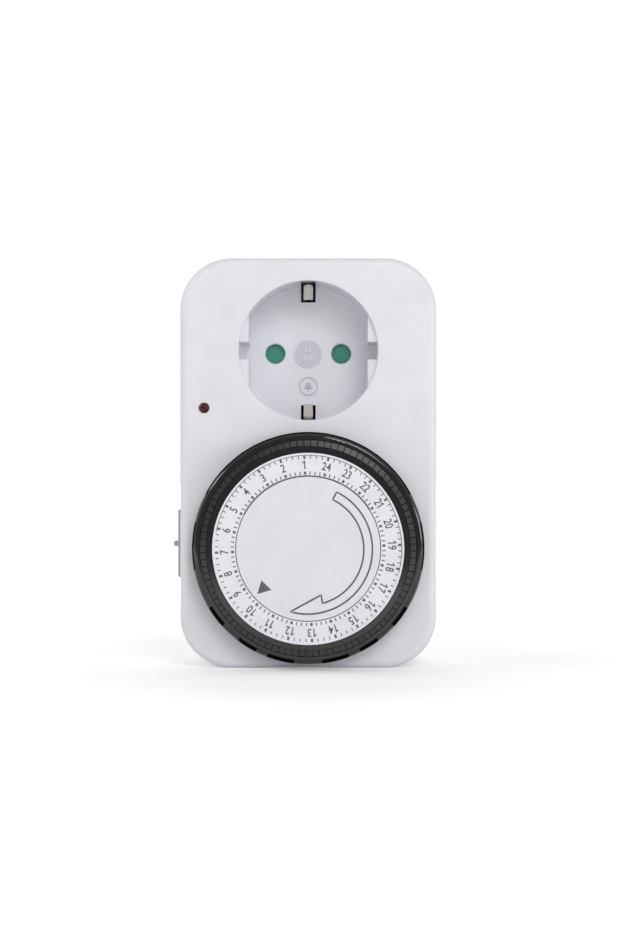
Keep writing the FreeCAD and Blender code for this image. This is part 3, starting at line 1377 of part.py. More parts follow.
def mode_switch():
    """The side switch: a bezel clipped into the wall, and a slider with a finger rib."""
    outer = -HALF_WIDTH - S.mode_plate_rise
    hollow = outer + S.mode_lip
    back = S.mode_plate_depth - HALF_WIDTH
    half_y, half_z = S.mode_plate_width / 2, S.mode_plate_height / 2
    plug_y = half_y - S.mode_plate_margin - S.mode_fit
    plug_z = half_z - S.mode_plate_end_margin - S.mode_fit
    plate = new_body("side_switch_plate")
    plug = new_sketch(plate, "BezelPlug", "YZ_Plane", outer)
    add_rectangle(plug, MODE_Y - plug_y, MODE_Y + plug_y, S.mode_z - plug_z, S.mode_z + plug_z)
    feature(plate, "Pad", plug, back - outer)
    face = new_sketch(plate, "BezelFace", "YZ_Plane", outer)
    add_rectangle(face, MODE_Y - half_y, MODE_Y + half_y, S.mode_z - half_z, S.mode_z + half_z)
    feature(plate, "Pad", face, S.mode_plate_rise)
    rounded = outer.number
    round_edges(plate, "BezelRound", S.mode_bezel_round, lambda edge: lies_at(edge, "x", rounded))
    slab_y = S.mode_well_width / 2 + S.mode_slab_overlap
    slab_low = S.mode_z - (S.mode_slab_height + S.mode_travel) / 2 + S.mode_slab_overlap
    slab_high = slab_low + S.mode_slab_height
    room = new_sketch(plate, "BezelHollow", "YZ_Plane", back)
    room_y = slab_y + S.free_gap
    add_rectangle(room, MODE_Y - room_y, MODE_Y + room_y, slab_low - S.free_gap,
                  slab_high + S.mode_travel + S.free_gap)
    feature(plate, "Pocket", room, back - hollow)
    well = new_sketch(plate, "BezelWell", "YZ_Plane", back)
    well_y, well_z = S.mode_well_width / 2, S.mode_well_height / 2
    well_middle = S.mode_z + S.free_gap
    add_rectangle(well, MODE_Y - well_y, MODE_Y + well_y, well_middle - well_z, well_middle + well_z)
    feature(plate, "Pocket", well, back - outer)
    slider = new_body("mode_slider")
    slab_face = hollow + S.free_gap
    slab = new_sketch(slider, "SliderSlab", "YZ_Plane", slab_face)
    add_rectangle(slab, MODE_Y - slab_y, MODE_Y + slab_y, slab_low, slab_high)
    feature(slider, "Pad", slab, S.mode_slab)
    wedge = new_sketch(slider, "SliderWedge", "XZ_Plane", -MODE_Y)
    rib_z = S.mode_z - S.mode_rib_drop
    low = rib_z - S.mode_wedge_height / 2 + S.free_gap
    high = low + S.mode_wedge_height
    rib = S.mode_rib_height / 2
    tip = outer - S.mode_rib_rise
    crest = slab_face - S.mode_wedge_rise
    root = slab_face + S.mode_lap
    add_polygon(wedge, [(root, low), (slab_face, low), (crest, rib_z - rib), (tip, rib_z - rib * RIB_TAPER),
                        (tip, rib_z + rib * RIB_TAPER), (crest, rib_z + rib), (slab_face, high),
                        (root, high)])
    feature(slider, "Pad", wedge, S.mode_well_width - S.free_gap * 2, middle=True)


# The whole timer

front_cover()
rear_cover()
housing_screws()
plug_pin("live_pin", -1)
plug_pin("neutral_pin", 1)
socket_contact("live_socket_contact", -1, None)
socket_contact("neutral_socket_contact", 1, PLUG_INNER_END - S.plug_pin_head)
earth_strip("earth_strip_upper", 1)
earth_strip("earth_strip_lower", -1)
earth_link()
shutter_end = safety_shutter()
shutter_spring(shutter_end)
shutter_cover(shutter_end)
number_dial()
centre_disc()
dial_spindle()
tappet_carrier()
for hour_index in range(int(S.hour_count.number)):
    tappet_group(hour_index)
gears()
idler_axle()
movement_plate()
motor()
movement_screws()
switch_follower()
follower_pin()
microswitch()
busbars()
indicator()
mode_switch()
doc.recompute()

problems = []
for item in doc.Objects:
    if "Invalid" in item.State or "Error" in item.State:
        problems.append(f"{item.Name}: {item.State}")
for name, item in NODES.items():
    if item.Shape.isNull() or not item.Shape.isValid() or not item.Shape.Solids:
        problems.append(f"{name}: no valid solid")
if problems:
    raise RuntimeError("; ".join(problems))

os.makedirs("parts", exist_ok=True)
for name, item in NODES.items():
    item.Shape.exportStep(os.path.join("parts", f"{name}.step"))
    print(name, len(item.Shape.Solids), round(item.Shape.Volume, 1))
print(len(NODES), "nodes")
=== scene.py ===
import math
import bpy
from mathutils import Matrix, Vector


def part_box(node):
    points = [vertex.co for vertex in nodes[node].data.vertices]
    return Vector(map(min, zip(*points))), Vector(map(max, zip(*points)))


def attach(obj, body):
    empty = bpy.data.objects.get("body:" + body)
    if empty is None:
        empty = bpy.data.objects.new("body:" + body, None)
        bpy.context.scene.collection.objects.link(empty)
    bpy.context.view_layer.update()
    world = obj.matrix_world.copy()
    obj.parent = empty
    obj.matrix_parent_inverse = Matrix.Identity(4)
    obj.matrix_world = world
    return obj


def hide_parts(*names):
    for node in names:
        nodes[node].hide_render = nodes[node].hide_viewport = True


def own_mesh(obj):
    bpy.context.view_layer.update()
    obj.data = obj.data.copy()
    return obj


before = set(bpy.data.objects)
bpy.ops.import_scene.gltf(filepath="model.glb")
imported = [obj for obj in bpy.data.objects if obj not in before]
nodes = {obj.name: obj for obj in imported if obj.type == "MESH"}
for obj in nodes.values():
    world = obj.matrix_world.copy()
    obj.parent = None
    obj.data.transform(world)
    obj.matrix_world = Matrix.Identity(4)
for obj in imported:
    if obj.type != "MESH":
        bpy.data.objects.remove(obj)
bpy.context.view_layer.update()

# %% [markdown]
# # A mechanical plug-in timer
# The solids of the timer are already in the scene, one object per piece. This file dresses them:
# it gives each piece its finish, swaps the screws and the shutter's spring for modelled ones, and
# adds the print on the dial and the relief in the socket. Lengths are metres, X runs to the right,
# Z up, and the front faces -Y.

MM = 0.001


def deselect():
    """Let nothing be selected, so that the next operator acts on its own piece alone."""
    for item in bpy.context.selected_objects:
        item.select_set(False)


def only(item):
    """Select one object and make it the active one."""
    deselect()
    item.select_set(True)
    bpy.context.view_layer.objects.active = item


# %% [markdown]
# ## Camera
# The photograph looks straight at the front with a long lens. The front face shows 3.58 pixels
# per millimetre, and the floor of the socket 3.45, which puts the camera about half a metre away.
# A lens length follows from the two: pixels per millimetre times distance is the focal length
# in pixels, and the sensor's long side stands for the picture's 931 pixels. The camera is placed
# so that the middle of the case and its bottom edge fall on their pixels in the photograph.

# %% Camera
PICTURE_WIDTH, PICTURE_HEIGHT = 621, 931
PIXELS_PER_MM = 3.58
CASE_CENTRE_X, CASE_BOTTOM_Y = 308.25, 668.2
CASE_FRONT = -17 * MM
CAMERA_DISTANCE = 550 * MM
NEAREST_SEEN = 10 * MM
SENSOR = 36.0
camera_x = (PICTURE_WIDTH / 2 - CASE_CENTRE_X) / PIXELS_PER_MM * MM
camera_z = (CASE_BOTTOM_Y - PICTURE_HEIGHT / 2) / PIXELS_PER_MM * MM
deselect()
bpy.ops.object.camera_add(location=(camera_x, CASE_FRONT - CAMERA_DISTANCE, camera_z),
                          rotation=(math.radians(90), 0, 0))
camera = bpy.context.object
camera.name = "photo_camera"
camera.data.sensor_width = SENSOR
camera.data.lens = PIXELS_PER_MM / MM * CAMERA_DISTANCE * SENSOR / PICTURE_HEIGHT
camera.data.clip_start = NEAREST_SEEN
bpy.context.scene.camera = camera
bpy.context.scene.view_settings.view_transform = "Standard"
print("lens:", round(camera.data.lens, 1), "mm")

# %% [markdown]
# ## Colours and nodes
# A colour picked from a picture is sRGB, and shaders work in linear light, so one function turns
# a hex code into linear numbers. Another adds a shader node, sets its options and gives each
# input either a value or a link. Every material below is built with these.

# %% Colour and node helpers
def linear(code):
    """Linear RGBA of an sRGB hex code such as D9D9DE."""
    values = [int(code[start:start + 2], 16) / 255 for start in (0, 2, 4)]
    return tuple(v / 12.92 if v <= 0.04045 else ((v + 0.055) / 1.055) ** 2.4 for v in values) + (1.0,)


def connect(tree, node, inputs):
    """Give inputs, by name or place, a value or a node's output. A node stands for its first output."""
    for name, value in inputs.items():
        if isinstance(value, bpy.types.Node):
            value = value.outputs[0]
        if isinstance(value, bpy.types.NodeSocket):
            tree.links.new(value, node.inputs[name])
        else:
            node.inputs[name].default_value = value


def add_node(tree, kind, options=None, inputs=None):
    """Add a shader node with its settings and what goes into it."""
    node = tree.nodes.new(kind)
    for name, value in (options or {}).items():
        setattr(node, name, value)
    connect(tree, node, inputs or {})
    return node


def new_material(name, inputs):
    """A material with one Principled shader that is given these values."""
    material = bpy.data.materials.new(name)
    material.use_nodes = True
    tree = material.node_tree
    shader = tree.nodes["Principled BSDF"]
    connect(tree, shader, inputs)
    return material, tree, shader


def wear(piece, material):
    """Give a piece one material in all its slots."""
    slots = piece.data.materials
    if not slots:
        slots.append(material)
    for index in range(len(slots)):
        slots[index] = material


# %% [markdown]
# ## Light and background
# What the camera sees behind the timer is pure white. A very bright world could do this, but it
# would light the timer as well. So the light that shows is told from the light that falls on the
# timer by the kind of its ray: it is 1 for the camera, and up to 1 for what mirrors and glass show,
# and the light that falls on the timer has strengths of its own.
#
# A polished surface that faces the camera shows the dim side of the studio behind the camera,
# where a grey cloth hangs, and one that is turned aside shows the white backdrop. That difference
# draws the edges of the dark ring. The light that falls on the timer comes mostly from straight in
# front and straight behind. From the sides it would wash out the socket and the side of the ring.

# %% World
CLOTH, BACKDROP = 0.35, 1.0
CLOTH_ENDS, BACKDROP_STARTS = -0.85, -0.1
FRONT_FILL, SIDE_FILL, BACK_FILL = 1.8, 0.34, 2.2
FRONT_ENDS, BACK_STARTS = -0.75, 0.5


def seen_rays(tree):
    """1 for rays that show the background: from the camera, a mirror or glass."""
    path = add_node(tree, "ShaderNodeLightPath")
    first = add_node(tree, "ShaderNodeMath", {"operation": "MAXIMUM"}, {
        0: path.outputs["Is Camera Ray"], 1: path.outputs["Is Glossy Ray"]})
    return add_node(tree, "ShaderNodeMath", {"operation": "MAXIMUM"}, {
        0: first, 1: path.outputs["Is Transmission Ray"]})


world = bpy.data.worlds.new("studio")
bpy.context.scene.world = world
world.use_nodes = True
tree = world.node_tree
direction = add_node(tree, "ShaderNodeTexCoord").outputs["Generated"]
towards_back = add_node(tree, "ShaderNodeSeparateXYZ", inputs={"Vector": direction}).outputs["Y"]
studio = add_node(tree, "ShaderNodeMapRange", inputs={
    "Value": towards_back, "From Min": CLOTH_ENDS, "From Max": BACKDROP_STARTS,
    "To Min": CLOTH, "To Max": BACKDROP})
camera_ray = add_node(tree, "ShaderNodeLightPath").outputs["Is Camera Ray"]
shown = add_node(tree, "ShaderNodeMath", {"operation": "MAXIMUM"}, {0: studio, 1: camera_ray})
before = add_node(tree, "ShaderNodeMapRange", inputs={
    "Value": towards_back, "From Min": -1.0, "From Max": FRONT_ENDS,
    "To Min": FRONT_FILL, "To Max": SIDE_FILL})
behind = add_node(tree, "ShaderNodeMapRange", inputs={
    "Value": towards_back, "From Min": BACK_STARTS, "From Max": 1.0,
    "To Min": SIDE_FILL, "To Max": BACK_FILL})
fill = add_node(tree, "ShaderNodeMath", {"operation": "MAXIMUM"}, {0: before, 1: behind})
strength = add_node(tree, "ShaderNodeMapRange", inputs={
    "Value": seen_rays(tree), "To Min": fill, "To Max": shown})
connect(tree, tree.nodes["Background"], {"Color": (1, 1, 1, 1), "Strength": strength})
print("world:", len(tree.nodes), "nodes")

# %% [markdown]
# The shadow of the timer is faint and falls to the left, so the main lamp is wide and stands in
# front, at the upper right. A sun would be simpler, but its shadow is too sharp. A flat strip at the
# upper left draws the grey streak on the ring's side, and a lamp low on the right lifts that side.

# %% Lamps
LAMP_AIM = (0, 0, 0.05)
# Each lamp has its place, width, height and watts.
LAMPS = {
    "key_lamp": ((0.42, -1.5, 0.92), 0.6, 0.6, 6.6),
    "left_strip": ((-0.9, -0.25, 0.64), 0.7, 0.2, 2.1),
    "right_fill": ((1.0, -0.6, 0.2), 0.5, 0.3, 2.4),
}
for name, (place, width, height, watts) in LAMPS.items():
    deselect()
    turn = (Vector(LAMP_AIM) - Vector(place)).to_track_quat("-Z", "Y")
    bpy.ops.object.light_add(type="AREA", location=place, rotation=turn.to_euler())
    lamp = bpy.context.object
    lamp.name = name
    lamp.data.shape = "RECTANGLE"
    lamp.data.size = width
    lamp.data.size_y = height
    lamp.data.energy = watts
print("lamps:", len(LAMPS))

# %% [markdown]
# The table is one plane. It adds a little light of its own for the rays that show it, so that it
# is as white as the world, no horizon shows and the timer's shadow stays. That light grows with the
# distance from the timer, or the shadow beside it would be lost. The table ends a little way
# before the timer, so that it doesn't hide the cloth from the surfaces that face the camera.

# %% Table
TABLE_SIZE = 6.0
TABLE_FRONT = 0.45
GLOW_STARTS, GLOW_ENDS = 0.07, 0.4
NEAR_GLOW, FAR_GLOW = 0.27, 1.0
deselect()
bpy.ops.mesh.primitive_plane_add(size=TABLE_SIZE, location=(0, 0, 0))
floor = bpy.context.object
floor.data.transform(Matrix.Translation((0, TABLE_SIZE / 2 - TABLE_FRONT, 0)))
floor.name = "table"
table_white, tree, shader = new_material("matt_white_table", {
    "Base Color": linear("F2F2F2"), "Roughness": 0.8})
spot = add_node(tree, "ShaderNodeTexCoord").outputs["Object"]
distance = add_node(tree, "ShaderNodeVectorMath", {"operation": "LENGTH"}, {0: spot}).outputs["Value"]
far_glow = add_node(tree, "ShaderNodeMapRange", inputs={
    "Value": distance, "From Min": GLOW_STARTS, "From Max": GLOW_ENDS,
    "To Min": NEAR_GLOW, "To Max": FAR_GLOW})
glow = add_node(tree, "ShaderNodeMath", {"operation": "MULTIPLY"}, {0: seen_rays(tree), 1: far_glow})
connect(tree, shader, {"Emission Color": (1, 1, 1, 1), "Emission Strength": glow})
wear(floor, table_white)
print("table reaches from", -TABLE_FRONT, "to", TABLE_SIZE - TABLE_FRONT, "m")

# %% [markdown]
# ## Finishes
# Each finish starts from what the real one is. The case is injection-moulded ABS from a mould
# with a fine spark-eroded grain: it looks satin, with soft wide highlights and no mirror image.
# The real grain is a few hundredths of a millimetre wide. Here it is drawn a few times as coarse,
# or it wouldn't show. A second, slow noise makes the colour and the gloss of a moulding wander a
# little. An even colour would be simpler, but it looks like a drawing and not like plastic.

# %% Uneven colour and gloss
NOISE_LOW, NOISE_HIGH = 0.35, 0.65


def grain(tree, size, detail=2.0, stretch=(1, 1, 1)):
    """Noise on the object's own coordinates, whose spots are about this size in metres."""
    place = add_node(tree, "ShaderNodeTexCoord").outputs["Object"]
    scaled = add_node(tree, "ShaderNodeMapping", inputs={"Vector": place, "Scale": stretch})
    noise = add_node(tree, "ShaderNodeTexNoise", inputs={
        "Vector": scaled, "Scale": 1 / size, "Detail": detail})
    return noise.outputs["Fac"]


def mottle(tree, shader, pattern, dark, light, gloss=None):
    """Let the colour wander between two hex codes with a noise, and the roughness between two values."""
    middle = {"Value": pattern, "From Min": NOISE_LOW, "From Max": NOISE_HIGH}
    share = add_node(tree, "ShaderNodeMapRange", inputs=middle)
    colour = add_node(tree, "ShaderNodeMix", {"data_type": "RGBA"}, {
        0: share, 6: linear(dark), 7: linear(light)})
    connect(tree, shader, {"Base Color": colour.outputs[2]})
    if gloss:
        smooth, rough = gloss
        roughness = add_node(tree, "ShaderNodeMapRange", inputs=middle | {"To Min": smooth, "To Max": rough})
        connect(tree, shader, {"Roughness": roughness})


def cover(tree, shader, mask, code):
    """Put another colour over the shader's own, where a mask is 1."""
    under = shader.inputs["Base Color"].links[0].from_socket
    colour = add_node(tree, "ShaderNodeMix", {"data_type": "RGBA"}, {0: mask, 6: under, 7: linear(code)})
    connect(tree, shader, {"Base Color": colour.outputs[2]})


# %% [markdown]
# The timer has several plastics. The case, the dial, the side switch and the green shutter are
# ABS. The gears and the levers are acetal, which is milky and slides well, and the block of the snap
# switch is a black thermoset that stands heat. One function makes them all, because to the eye they
# differ only in colour, in gloss and in how wide and deep their grain is.

# %% Moulded plastics
PATCH = 9 * MM
PATCH_GLOSS = 0.04
GRAIN_STRENGTH = 0.35
ABS_IOR = 1.54
ACETAL_IOR = 1.48
THERMOSET_IOR = 1.55


def moulded_plastic(name, dark, light, roughness, ior, grain_size, depth):
    """Moulded plastic: nearly one colour, a fine grain and slightly uneven gloss."""
    material, tree, shader = new_material(name, {"IOR": ior})
    gloss = (roughness - PATCH_GLOSS, roughness + PATCH_GLOSS)
    mottle(tree, shader, grain(tree, PATCH, 3.0), dark, light, gloss)
    relief = add_node(tree, "ShaderNodeBump", inputs={
        "Height": grain(tree, grain_size, 1.0), "Distance": depth, "Strength": GRAIN_STRENGTH})
    connect(tree, shader, {"Normal": relief})
    return material


case_abs = moulded_plastic("abs_satin_white", "DEDEE4", "E2E2E8", 0.42, ABS_IOR, 0.16 * MM, 0.012 * MM)
# Painted shade: the earth sign is the case's own plastic, given a darker grey for the shade along its edges.
relief_painted_shade_abs = moulded_plastic("abs_relief_painted_shade", "B4B4BC", "BCBCC4", 0.6, ABS_IOR, 0.16 * MM, 0.012 * MM)
dial_abs = moulded_plastic("abs_dial_white", "E2E2E8", "E8E8EE", 0.5, ABS_IOR, 0.22 * MM, 0.02 * MM)
disc_abs = moulded_plastic("abs_disc_white", "DEDEE4", "E2E2E8", 0.45, ABS_IOR, 0.16 * MM, 0.01 * MM)
switch_abs = moulded_plastic("abs_switch_beige", "B3AFAB", "BAB6B2", 0.4, ABS_IOR, 0.14 * MM, 0.01 * MM)
shutter_abs = moulded_plastic("abs_shutter_green", "2C876F", "37967D", 0.3, ABS_IOR, 0.14 * MM, 0.008 * MM)
acetal = moulded_plastic("acetal_natural", "E6E2D6", "EEEADF", 0.35, ACETAL_IOR, 0.2 * MM, 0.01 * MM)
lever_plastic = moulded_plastic("acetal_white", "DAD8D2", "E4E2DC", 0.38, ACETAL_IOR, 0.2 * MM, 0.01 * MM)
block_plastic = moulded_plastic("thermoset_black", "151515", "202020", 0.45, THERMOSET_IOR,
                                0.15 * MM, 0.01 * MM)
print("plastics are ready")

# %% [markdown]
# The boss in the middle of the socket and the small ring below it stand a hair proud of the floor,
# and their faces look a little darker than the rest. Separate pieces could wear a darker finish,
# but they are one moulding with the case, so the case's material finds both faces by their place: a
# disc, thin in depth, round each centre.

# %% Darker faces in the socket
SOCKET_Z = 88.8 * MM
SOCKET_FLOOR = 0.5 * MM
BOSS_RISE, BOSS_FIELD, BOSS_DEPTH = 0.5 * MM, 3.8 * MM, 0.3 * MM
RING_Z = SOCKET_Z - 9.3 * MM
RING_RISE, RING_FIELD, RING_DEPTH = 0.35 * MM, 3.5 * MM, 0.2 * MM


def disc_field(tree, centre, radius, depth):
    """1 on an upright disc: inside a radius of its centre, and within a depth of its plane."""
    place = add_node(tree, "ShaderNodeTexCoord").outputs["Object"]
    off = add_node(tree, "ShaderNodeVectorMath", {"operation": "SUBTRACT"}, {0: place, 1: centre})
    flat = add_node(tree, "ShaderNodeVectorMath", {"operation": "MULTIPLY"}, {
        0: off, 1: (1 / radius, 1 / depth, 1 / radius)})
    reach = add_node(tree, "ShaderNodeVectorMath", {"operation": "LENGTH"}, {0: flat}).outputs["Value"]
    return add_node(tree, "ShaderNodeMath", {"operation": "LESS_THAN"}, {0: reach, 1: 1.0})


tree = case_abs.node_tree
boss_face = disc_field(tree, (0, SOCKET_FLOOR - BOSS_RISE, SOCKET_Z), BOSS_FIELD, BOSS_DEPTH)
ring_face = disc_field(tree, (0, SOCKET_FLOOR - RING_RISE, RING_Z), RING_FIELD, RING_DEPTH)
darker_faces = add_node(tree, "ShaderNodeMath", {"operation": "MAXIMUM"}, {0: boss_face, 1: ring_face})
cover(tree, tree.nodes["Principled BSDF"], darker_faces, "C8C8D0")
print("case material:", len(tree.nodes), "nodes")

# %% [markdown]
# The ring round the dial is polished dark polycarbonate. It shows the white case beside it as a grey sheen,
# and a lamp as a streak along the ring. Fields of its shoulder, on both sides of the upright line, are
# painted shade and painted dark reflection: there the colour goes black and the gloss goes away. The ring's
# side below the shoulder has none. They could be thin pieces laid on the ring, but then their edges would
# catch the light, so the material finds them by angle, radius and depth.

# %% Painted shade on the ring's shoulder
dial_low, dial_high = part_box("centre_disc")
dial_x = (dial_low.x + dial_high.x) / 2
dial_z = (dial_low.z + dial_high.z) / 2
SHOULDER_END = -23.2 * MM
# Each field of painted shade has the angles from the top where it starts and ends, and its inner radius in
# mm.
EDGE_SHADE_FIELDS = [(0, 62, 31.6), (77, 101, 31.6), (121, 132.2, 30.9), (142.6, 153, 30.9), (159.1, 172.8, 30.9)]


def edge_fields(tree):
    """1 on the fields of painted shade and painted dark reflection along the ring's edge."""
    place = add_node(tree, "ShaderNodeTexCoord").outputs["Object"]
    off = add_node(tree, "ShaderNodeVectorMath", {"operation": "SUBTRACT"}, {
        0: place, 1: (dial_x, 0, dial_z)})
    flat = add_node(tree, "ShaderNodeVectorMath", {"operation": "MULTIPLY"}, {0: off, 1: (1, 0, 1)})
    radius = add_node(tree, "ShaderNodeVectorMath", {"operation": "LENGTH"}, {0: flat}).outputs["Value"]
    split = add_node(tree, "ShaderNodeSeparateXYZ", inputs={"Vector": flat})
    turn = add_node(tree, "ShaderNodeMath", {"operation": "ARCTAN2"}, {
        0: split.outputs["X"], 1: split.outputs["Z"]})
    angle = add_node(tree, "ShaderNodeMath", {"operation": "ABSOLUTE"}, {0: turn})
    shade_fields = 0.0
    for start, end, inner in EDGE_SHADE_FIELDS:
        middle, half = math.radians((start + end) / 2), math.radians((end - start) / 2)
        within = add_node(tree, "ShaderNodeMath", {"operation": "COMPARE"}, {0: angle, 1: middle, 2: half})
        beyond = add_node(tree, "ShaderNodeMath", {"operation": "GREATER_THAN"}, {0: radius, 1: inner * MM})
        field = add_node(tree, "ShaderNodeMath", {"operation": "MULTIPLY"}, {0: within, 1: beyond})
        shade_fields = add_node(tree, "ShaderNodeMath", {"operation": "MAXIMUM"}, {0: shade_fields, 1: field})
    depth = add_node(tree, "ShaderNodeSeparateXYZ", inputs={"Vector": place}).outputs["Y"]
    shoulder = add_node(tree, "ShaderNodeMath", {"operation": "LESS_THAN"}, {0: depth, 1: SHOULDER_END})
    return add_node(tree, "ShaderNodeMath", {"operation": "MULTIPLY"}, {0: shade_fields, 1: shoulder})


print("fields on each side of the ring:", len(EDGE_SHADE_FIELDS))

# %% [markdown]
# The polish and the fields of painted shade are one material, so that the boundary between them stays sharp:
# where a field of painted shade is, the colour goes to black, the roughness to 1, and the mirror image
# nearly goes away.
# The tappets are a greener black, and less glossy.

# %% Smoked ring with painted shade, and tappets
POLYCARBONATE_IOR = 1.585
POLISHED, MATT = 0.1, 1.0
MIRROR, NO_MIRROR = 0.5, 0.05
smoked_with_painted_shade, tree, shader = new_material("polycarbonate_smoked_painted_shade", {"IOR": POLYCARBONATE_IOR})
shade_fields = edge_fields(tree)
mottle(tree, shader, grain(tree, PATCH, 3.0), "0A0808", "14100F")
# Painted shade and painted dark reflection: the fields on the ring's shoulder turn black.
cover(tree, shader, shade_fields, "030303")
roughness = add_node(tree, "ShaderNodeMapRange", inputs={
    "Value": shade_fields, "To Min": POLISHED, "To Max": MATT})
mirror = add_node(tree, "ShaderNodeMapRange", inputs={
    "Value": shade_fields, "To Min": MIRROR, "To Max": NO_MIRROR})
connect(tree, shader, {"Roughness": roughness, "Specular IOR Level": mirror})
tappet_black = moulded_plastic("polycarbonate_black", "141412", "1E1E1B", 0.35, POLYCARBONATE_IOR,
                               0.3 * MM, 0.006 * MM)
print("ring finishes are ready")

# %% [markdown]
# Metals keep the default IOR. The earth clips are nickel on brass, rolled before they were bent, so fine
# lines run along them: a noise that is stretched along the strip draws those. The real lines are too fine to
# show and are drawn 0.25 mm wide. The plug pins are turned and then plated, which leaves them smooth with a
# faint bloom, so theirs is a soft noise without lines. The socket's contacts are bright brass that plugs rub
# clean. The strips inside the case are brass as well, but wear a dark brown: painted shade for the shadow
# inside the case.

# %% Metals
LINE_SIZE = 0.25 * MM
LINE_GLOSS = 0.05
LINE_STRENGTH = 0.5
ALONG_DEPTH = (1, 0.06, 1)
EVEN = (0.5, 0.5, 0.5)
BLOOM_SIZE = 4 * MM


def rolled_metal(name, dark, light, roughness, stretch, depth=0.006 * MM):
    """Sheet or wire with fine lines along its length."""
    material, tree, shader = new_material(name, {"Metallic": 1.0})
    lines = grain(tree, LINE_SIZE, 3.0, stretch)
    mottle(tree, shader, lines, dark, light, (roughness - LINE_GLOSS, roughness + LINE_GLOSS))
    relief = add_node(tree, "ShaderNodeBump", inputs={
        "Height": lines, "Distance": depth, "Strength": LINE_STRENGTH})
    connect(tree, shader, {"Normal": relief})
    return material


nickel = rolled_metal("nickel_plate", "EAE4D8", "F6F1E6", 0.4, ALONG_DEPTH, 0.003 * MM)
brass = rolled_metal("brass_sheet", "C09A4E", "D6B469", 0.32, ALONG_DEPTH)
# Painted shade: the brass strips inside the case are darkened to brown.
brass_in_painted_shade = rolled_metal("brass_painted_shade_brown", "2A221C", "382E27", 0.6, EVEN)
zinc = rolled_metal("zinc_plated_steel", "A9ABAE", "BFC1C4", 0.36, EVEN)
pin_nickel, tree, shader = new_material("nickel_turned", {"Metallic": 1.0})
mottle(tree, shader, grain(tree, BLOOM_SIZE), "CFC9BF", "D6D0C6", (0.22, 0.3))
print("metals are ready")

# %% [markdown]
# The lamp is a clear red cap over a light that is off, so it looks almost black with a red heart.
# Real transmission would show that heart, but the cap is only a few millimetres wide, and a dark
# glossy red looks the same without noise. Its board is phenolic paper, with brown fibres that
# run upwards, and the resistor has a beige lacquer.

# %% Lamp, board and resistor
FIBRE_SIZE = 0.4 * MM
UPWARDS = (1, 1, 0.2)
lamp_red, tree, shader = new_material("polystyrene_red", {
    "Base Color": linear("4A050C"), "Roughness": 0.14, "IOR": 1.59, "Specular IOR Level": 0.25})
phenolic, tree, shader = new_material("phenolic_paper", {"Roughness": 0.55, "IOR": 1.6})
mottle(tree, shader, grain(tree, FIBRE_SIZE, 4.0, UPWARDS), "8A6B35", "A5854A")
resistor_lacquer = moulded_plastic("lacquer_beige", "C9A878", "D8BA8C", 0.35, 1.5, 0.3 * MM, 0.01 * MM)
print("small finishes are ready")

# %% [markdown]
# ## Who wears what
# Every solid gets a finish, also those that only show when the case is open. One list from finish
# to pieces is easier to check than a line for each piece, and it ends with the names it missed.

# %% Finish of every solid
FINISHES = {
    case_abs: ["front_cover", "rear_cover"],
    dial_abs: ["number_dial"],
    disc_abs: ["centre_disc"],
    smoked_with_painted_shade: ["tappet_carrier"],
    tappet_black: [name for name in nodes if name.startswith("tappets_hour")],
    nickel: ["earth_strip_upper", "earth_strip_lower"],
    pin_nickel: ["live_pin", "neutral_pin"],
    brass: ["live_socket_contact", "neutral_socket_contact"],
    brass_in_painted_shade: ["earth_link", "live_busbar", "live_feed_strip"],
    zinc: ["housing_screws", "movement_screws", "movement_plate", "motor_lid", "motor_can",
           "follower_pin", "idler_axle", "dial_spindle", "shutter_spring", "microswitch_lever"],
    shutter_abs: ["safety_shutter"],
    acetal: ["dial_gear", "idler_gear", "motor_pinion"],
    block_plastic: ["microswitch_body"],
    lever_plastic: ["switch_follower", "shutter_cover"],
    lamp_red: ["indicator_lamp"],
    phenolic: ["circuit_board"],
    resistor_lacquer: ["lamp_resistor"],
    switch_abs: ["side_switch_plate", "mode_slider"],
}
for material, names in FINISHES.items():
    for name in names:
        wear(nodes[name], material)
print("bare solids:", set(nodes) - {name for names in FINISHES.values() for name in names})

# %% [markdown]
# ## Print on the dial
# On the real dial all of the print is one pass of grey ink. It could be a picture on the face,
# but it would blur when one comes close, and this file uses no pictures. So each mark is a plate,
# a hair thicker than nothing, and pushed half into the face so that no gap shows under it. All are
# drawn round the origin, and then turned and moved to their place.

# %% Ink and places on the dial
face_y = dial_low.y
PLATE_FILM = 0.02 * MM
HOURS, QUARTERS_IN_HOUR = 24, 4
QUARTERS = HOURS * QUARTERS_IN_HOUR
# The first hour's mark stands this many degrees anticlockwise from the top.
FIRST_HOUR = 2.4
BLOT_SIZE = 0.3 * MM
# This grey draws the print, and also the painted shadow lines along the label's edges.
ink_and_shadow_grey, tree, shader = new_material("screen_ink_and_painted_shadow", {"Roughness": 0.55, "IOR": 1.5})
mottle(tree, shader, grain(tree, BLOT_SIZE), "55535A", "66646B")


def at_dial(piece, clockwise):
    """Turn what was drawn at the top of the dial to its angle, and put its place in its mesh."""
    turn = Matrix.Rotation(math.radians(clockwise), 4, "Y")
    piece.data.transform(Matrix.Translation((dial_x, face_y, dial_z)) @ turn)
    return piece


print("dial centre, in mm:", round(dial_x / MM, 2), round(dial_z / MM, 2), "face at", round(face_y / MM, 2))

# %% [markdown]
# Much of the print and the relief is flat, with an outline of a few corners. Such a plate is made as
# by hand: a filled circle with as many points as the outline has corners, whose points are moved
# there, and then one extrusion. A curve with a filled outline would do as well, with more steps.

# %% Plates and pieces
def merge(pieces):
    """Make one object of several."""
    only(pieces[0])
    for piece in pieces:
        piece.select_set(True)
    if len(pieces) > 1:
        bpy.ops.object.join()
    return bpy.context.view_layer.objects.active


def join(pieces, name, body):
    """Make one named piece of several, riding on a body."""
    made = merge(pieces)
    made.name = name
    made.data.name = name
    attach(made, body)
    return made


def copy_of(piece):
    """A copy with its own mesh."""
    other = piece.copy()
    other.data = piece.data.copy()
    bpy.context.scene.collection.objects.link(other)
    return other


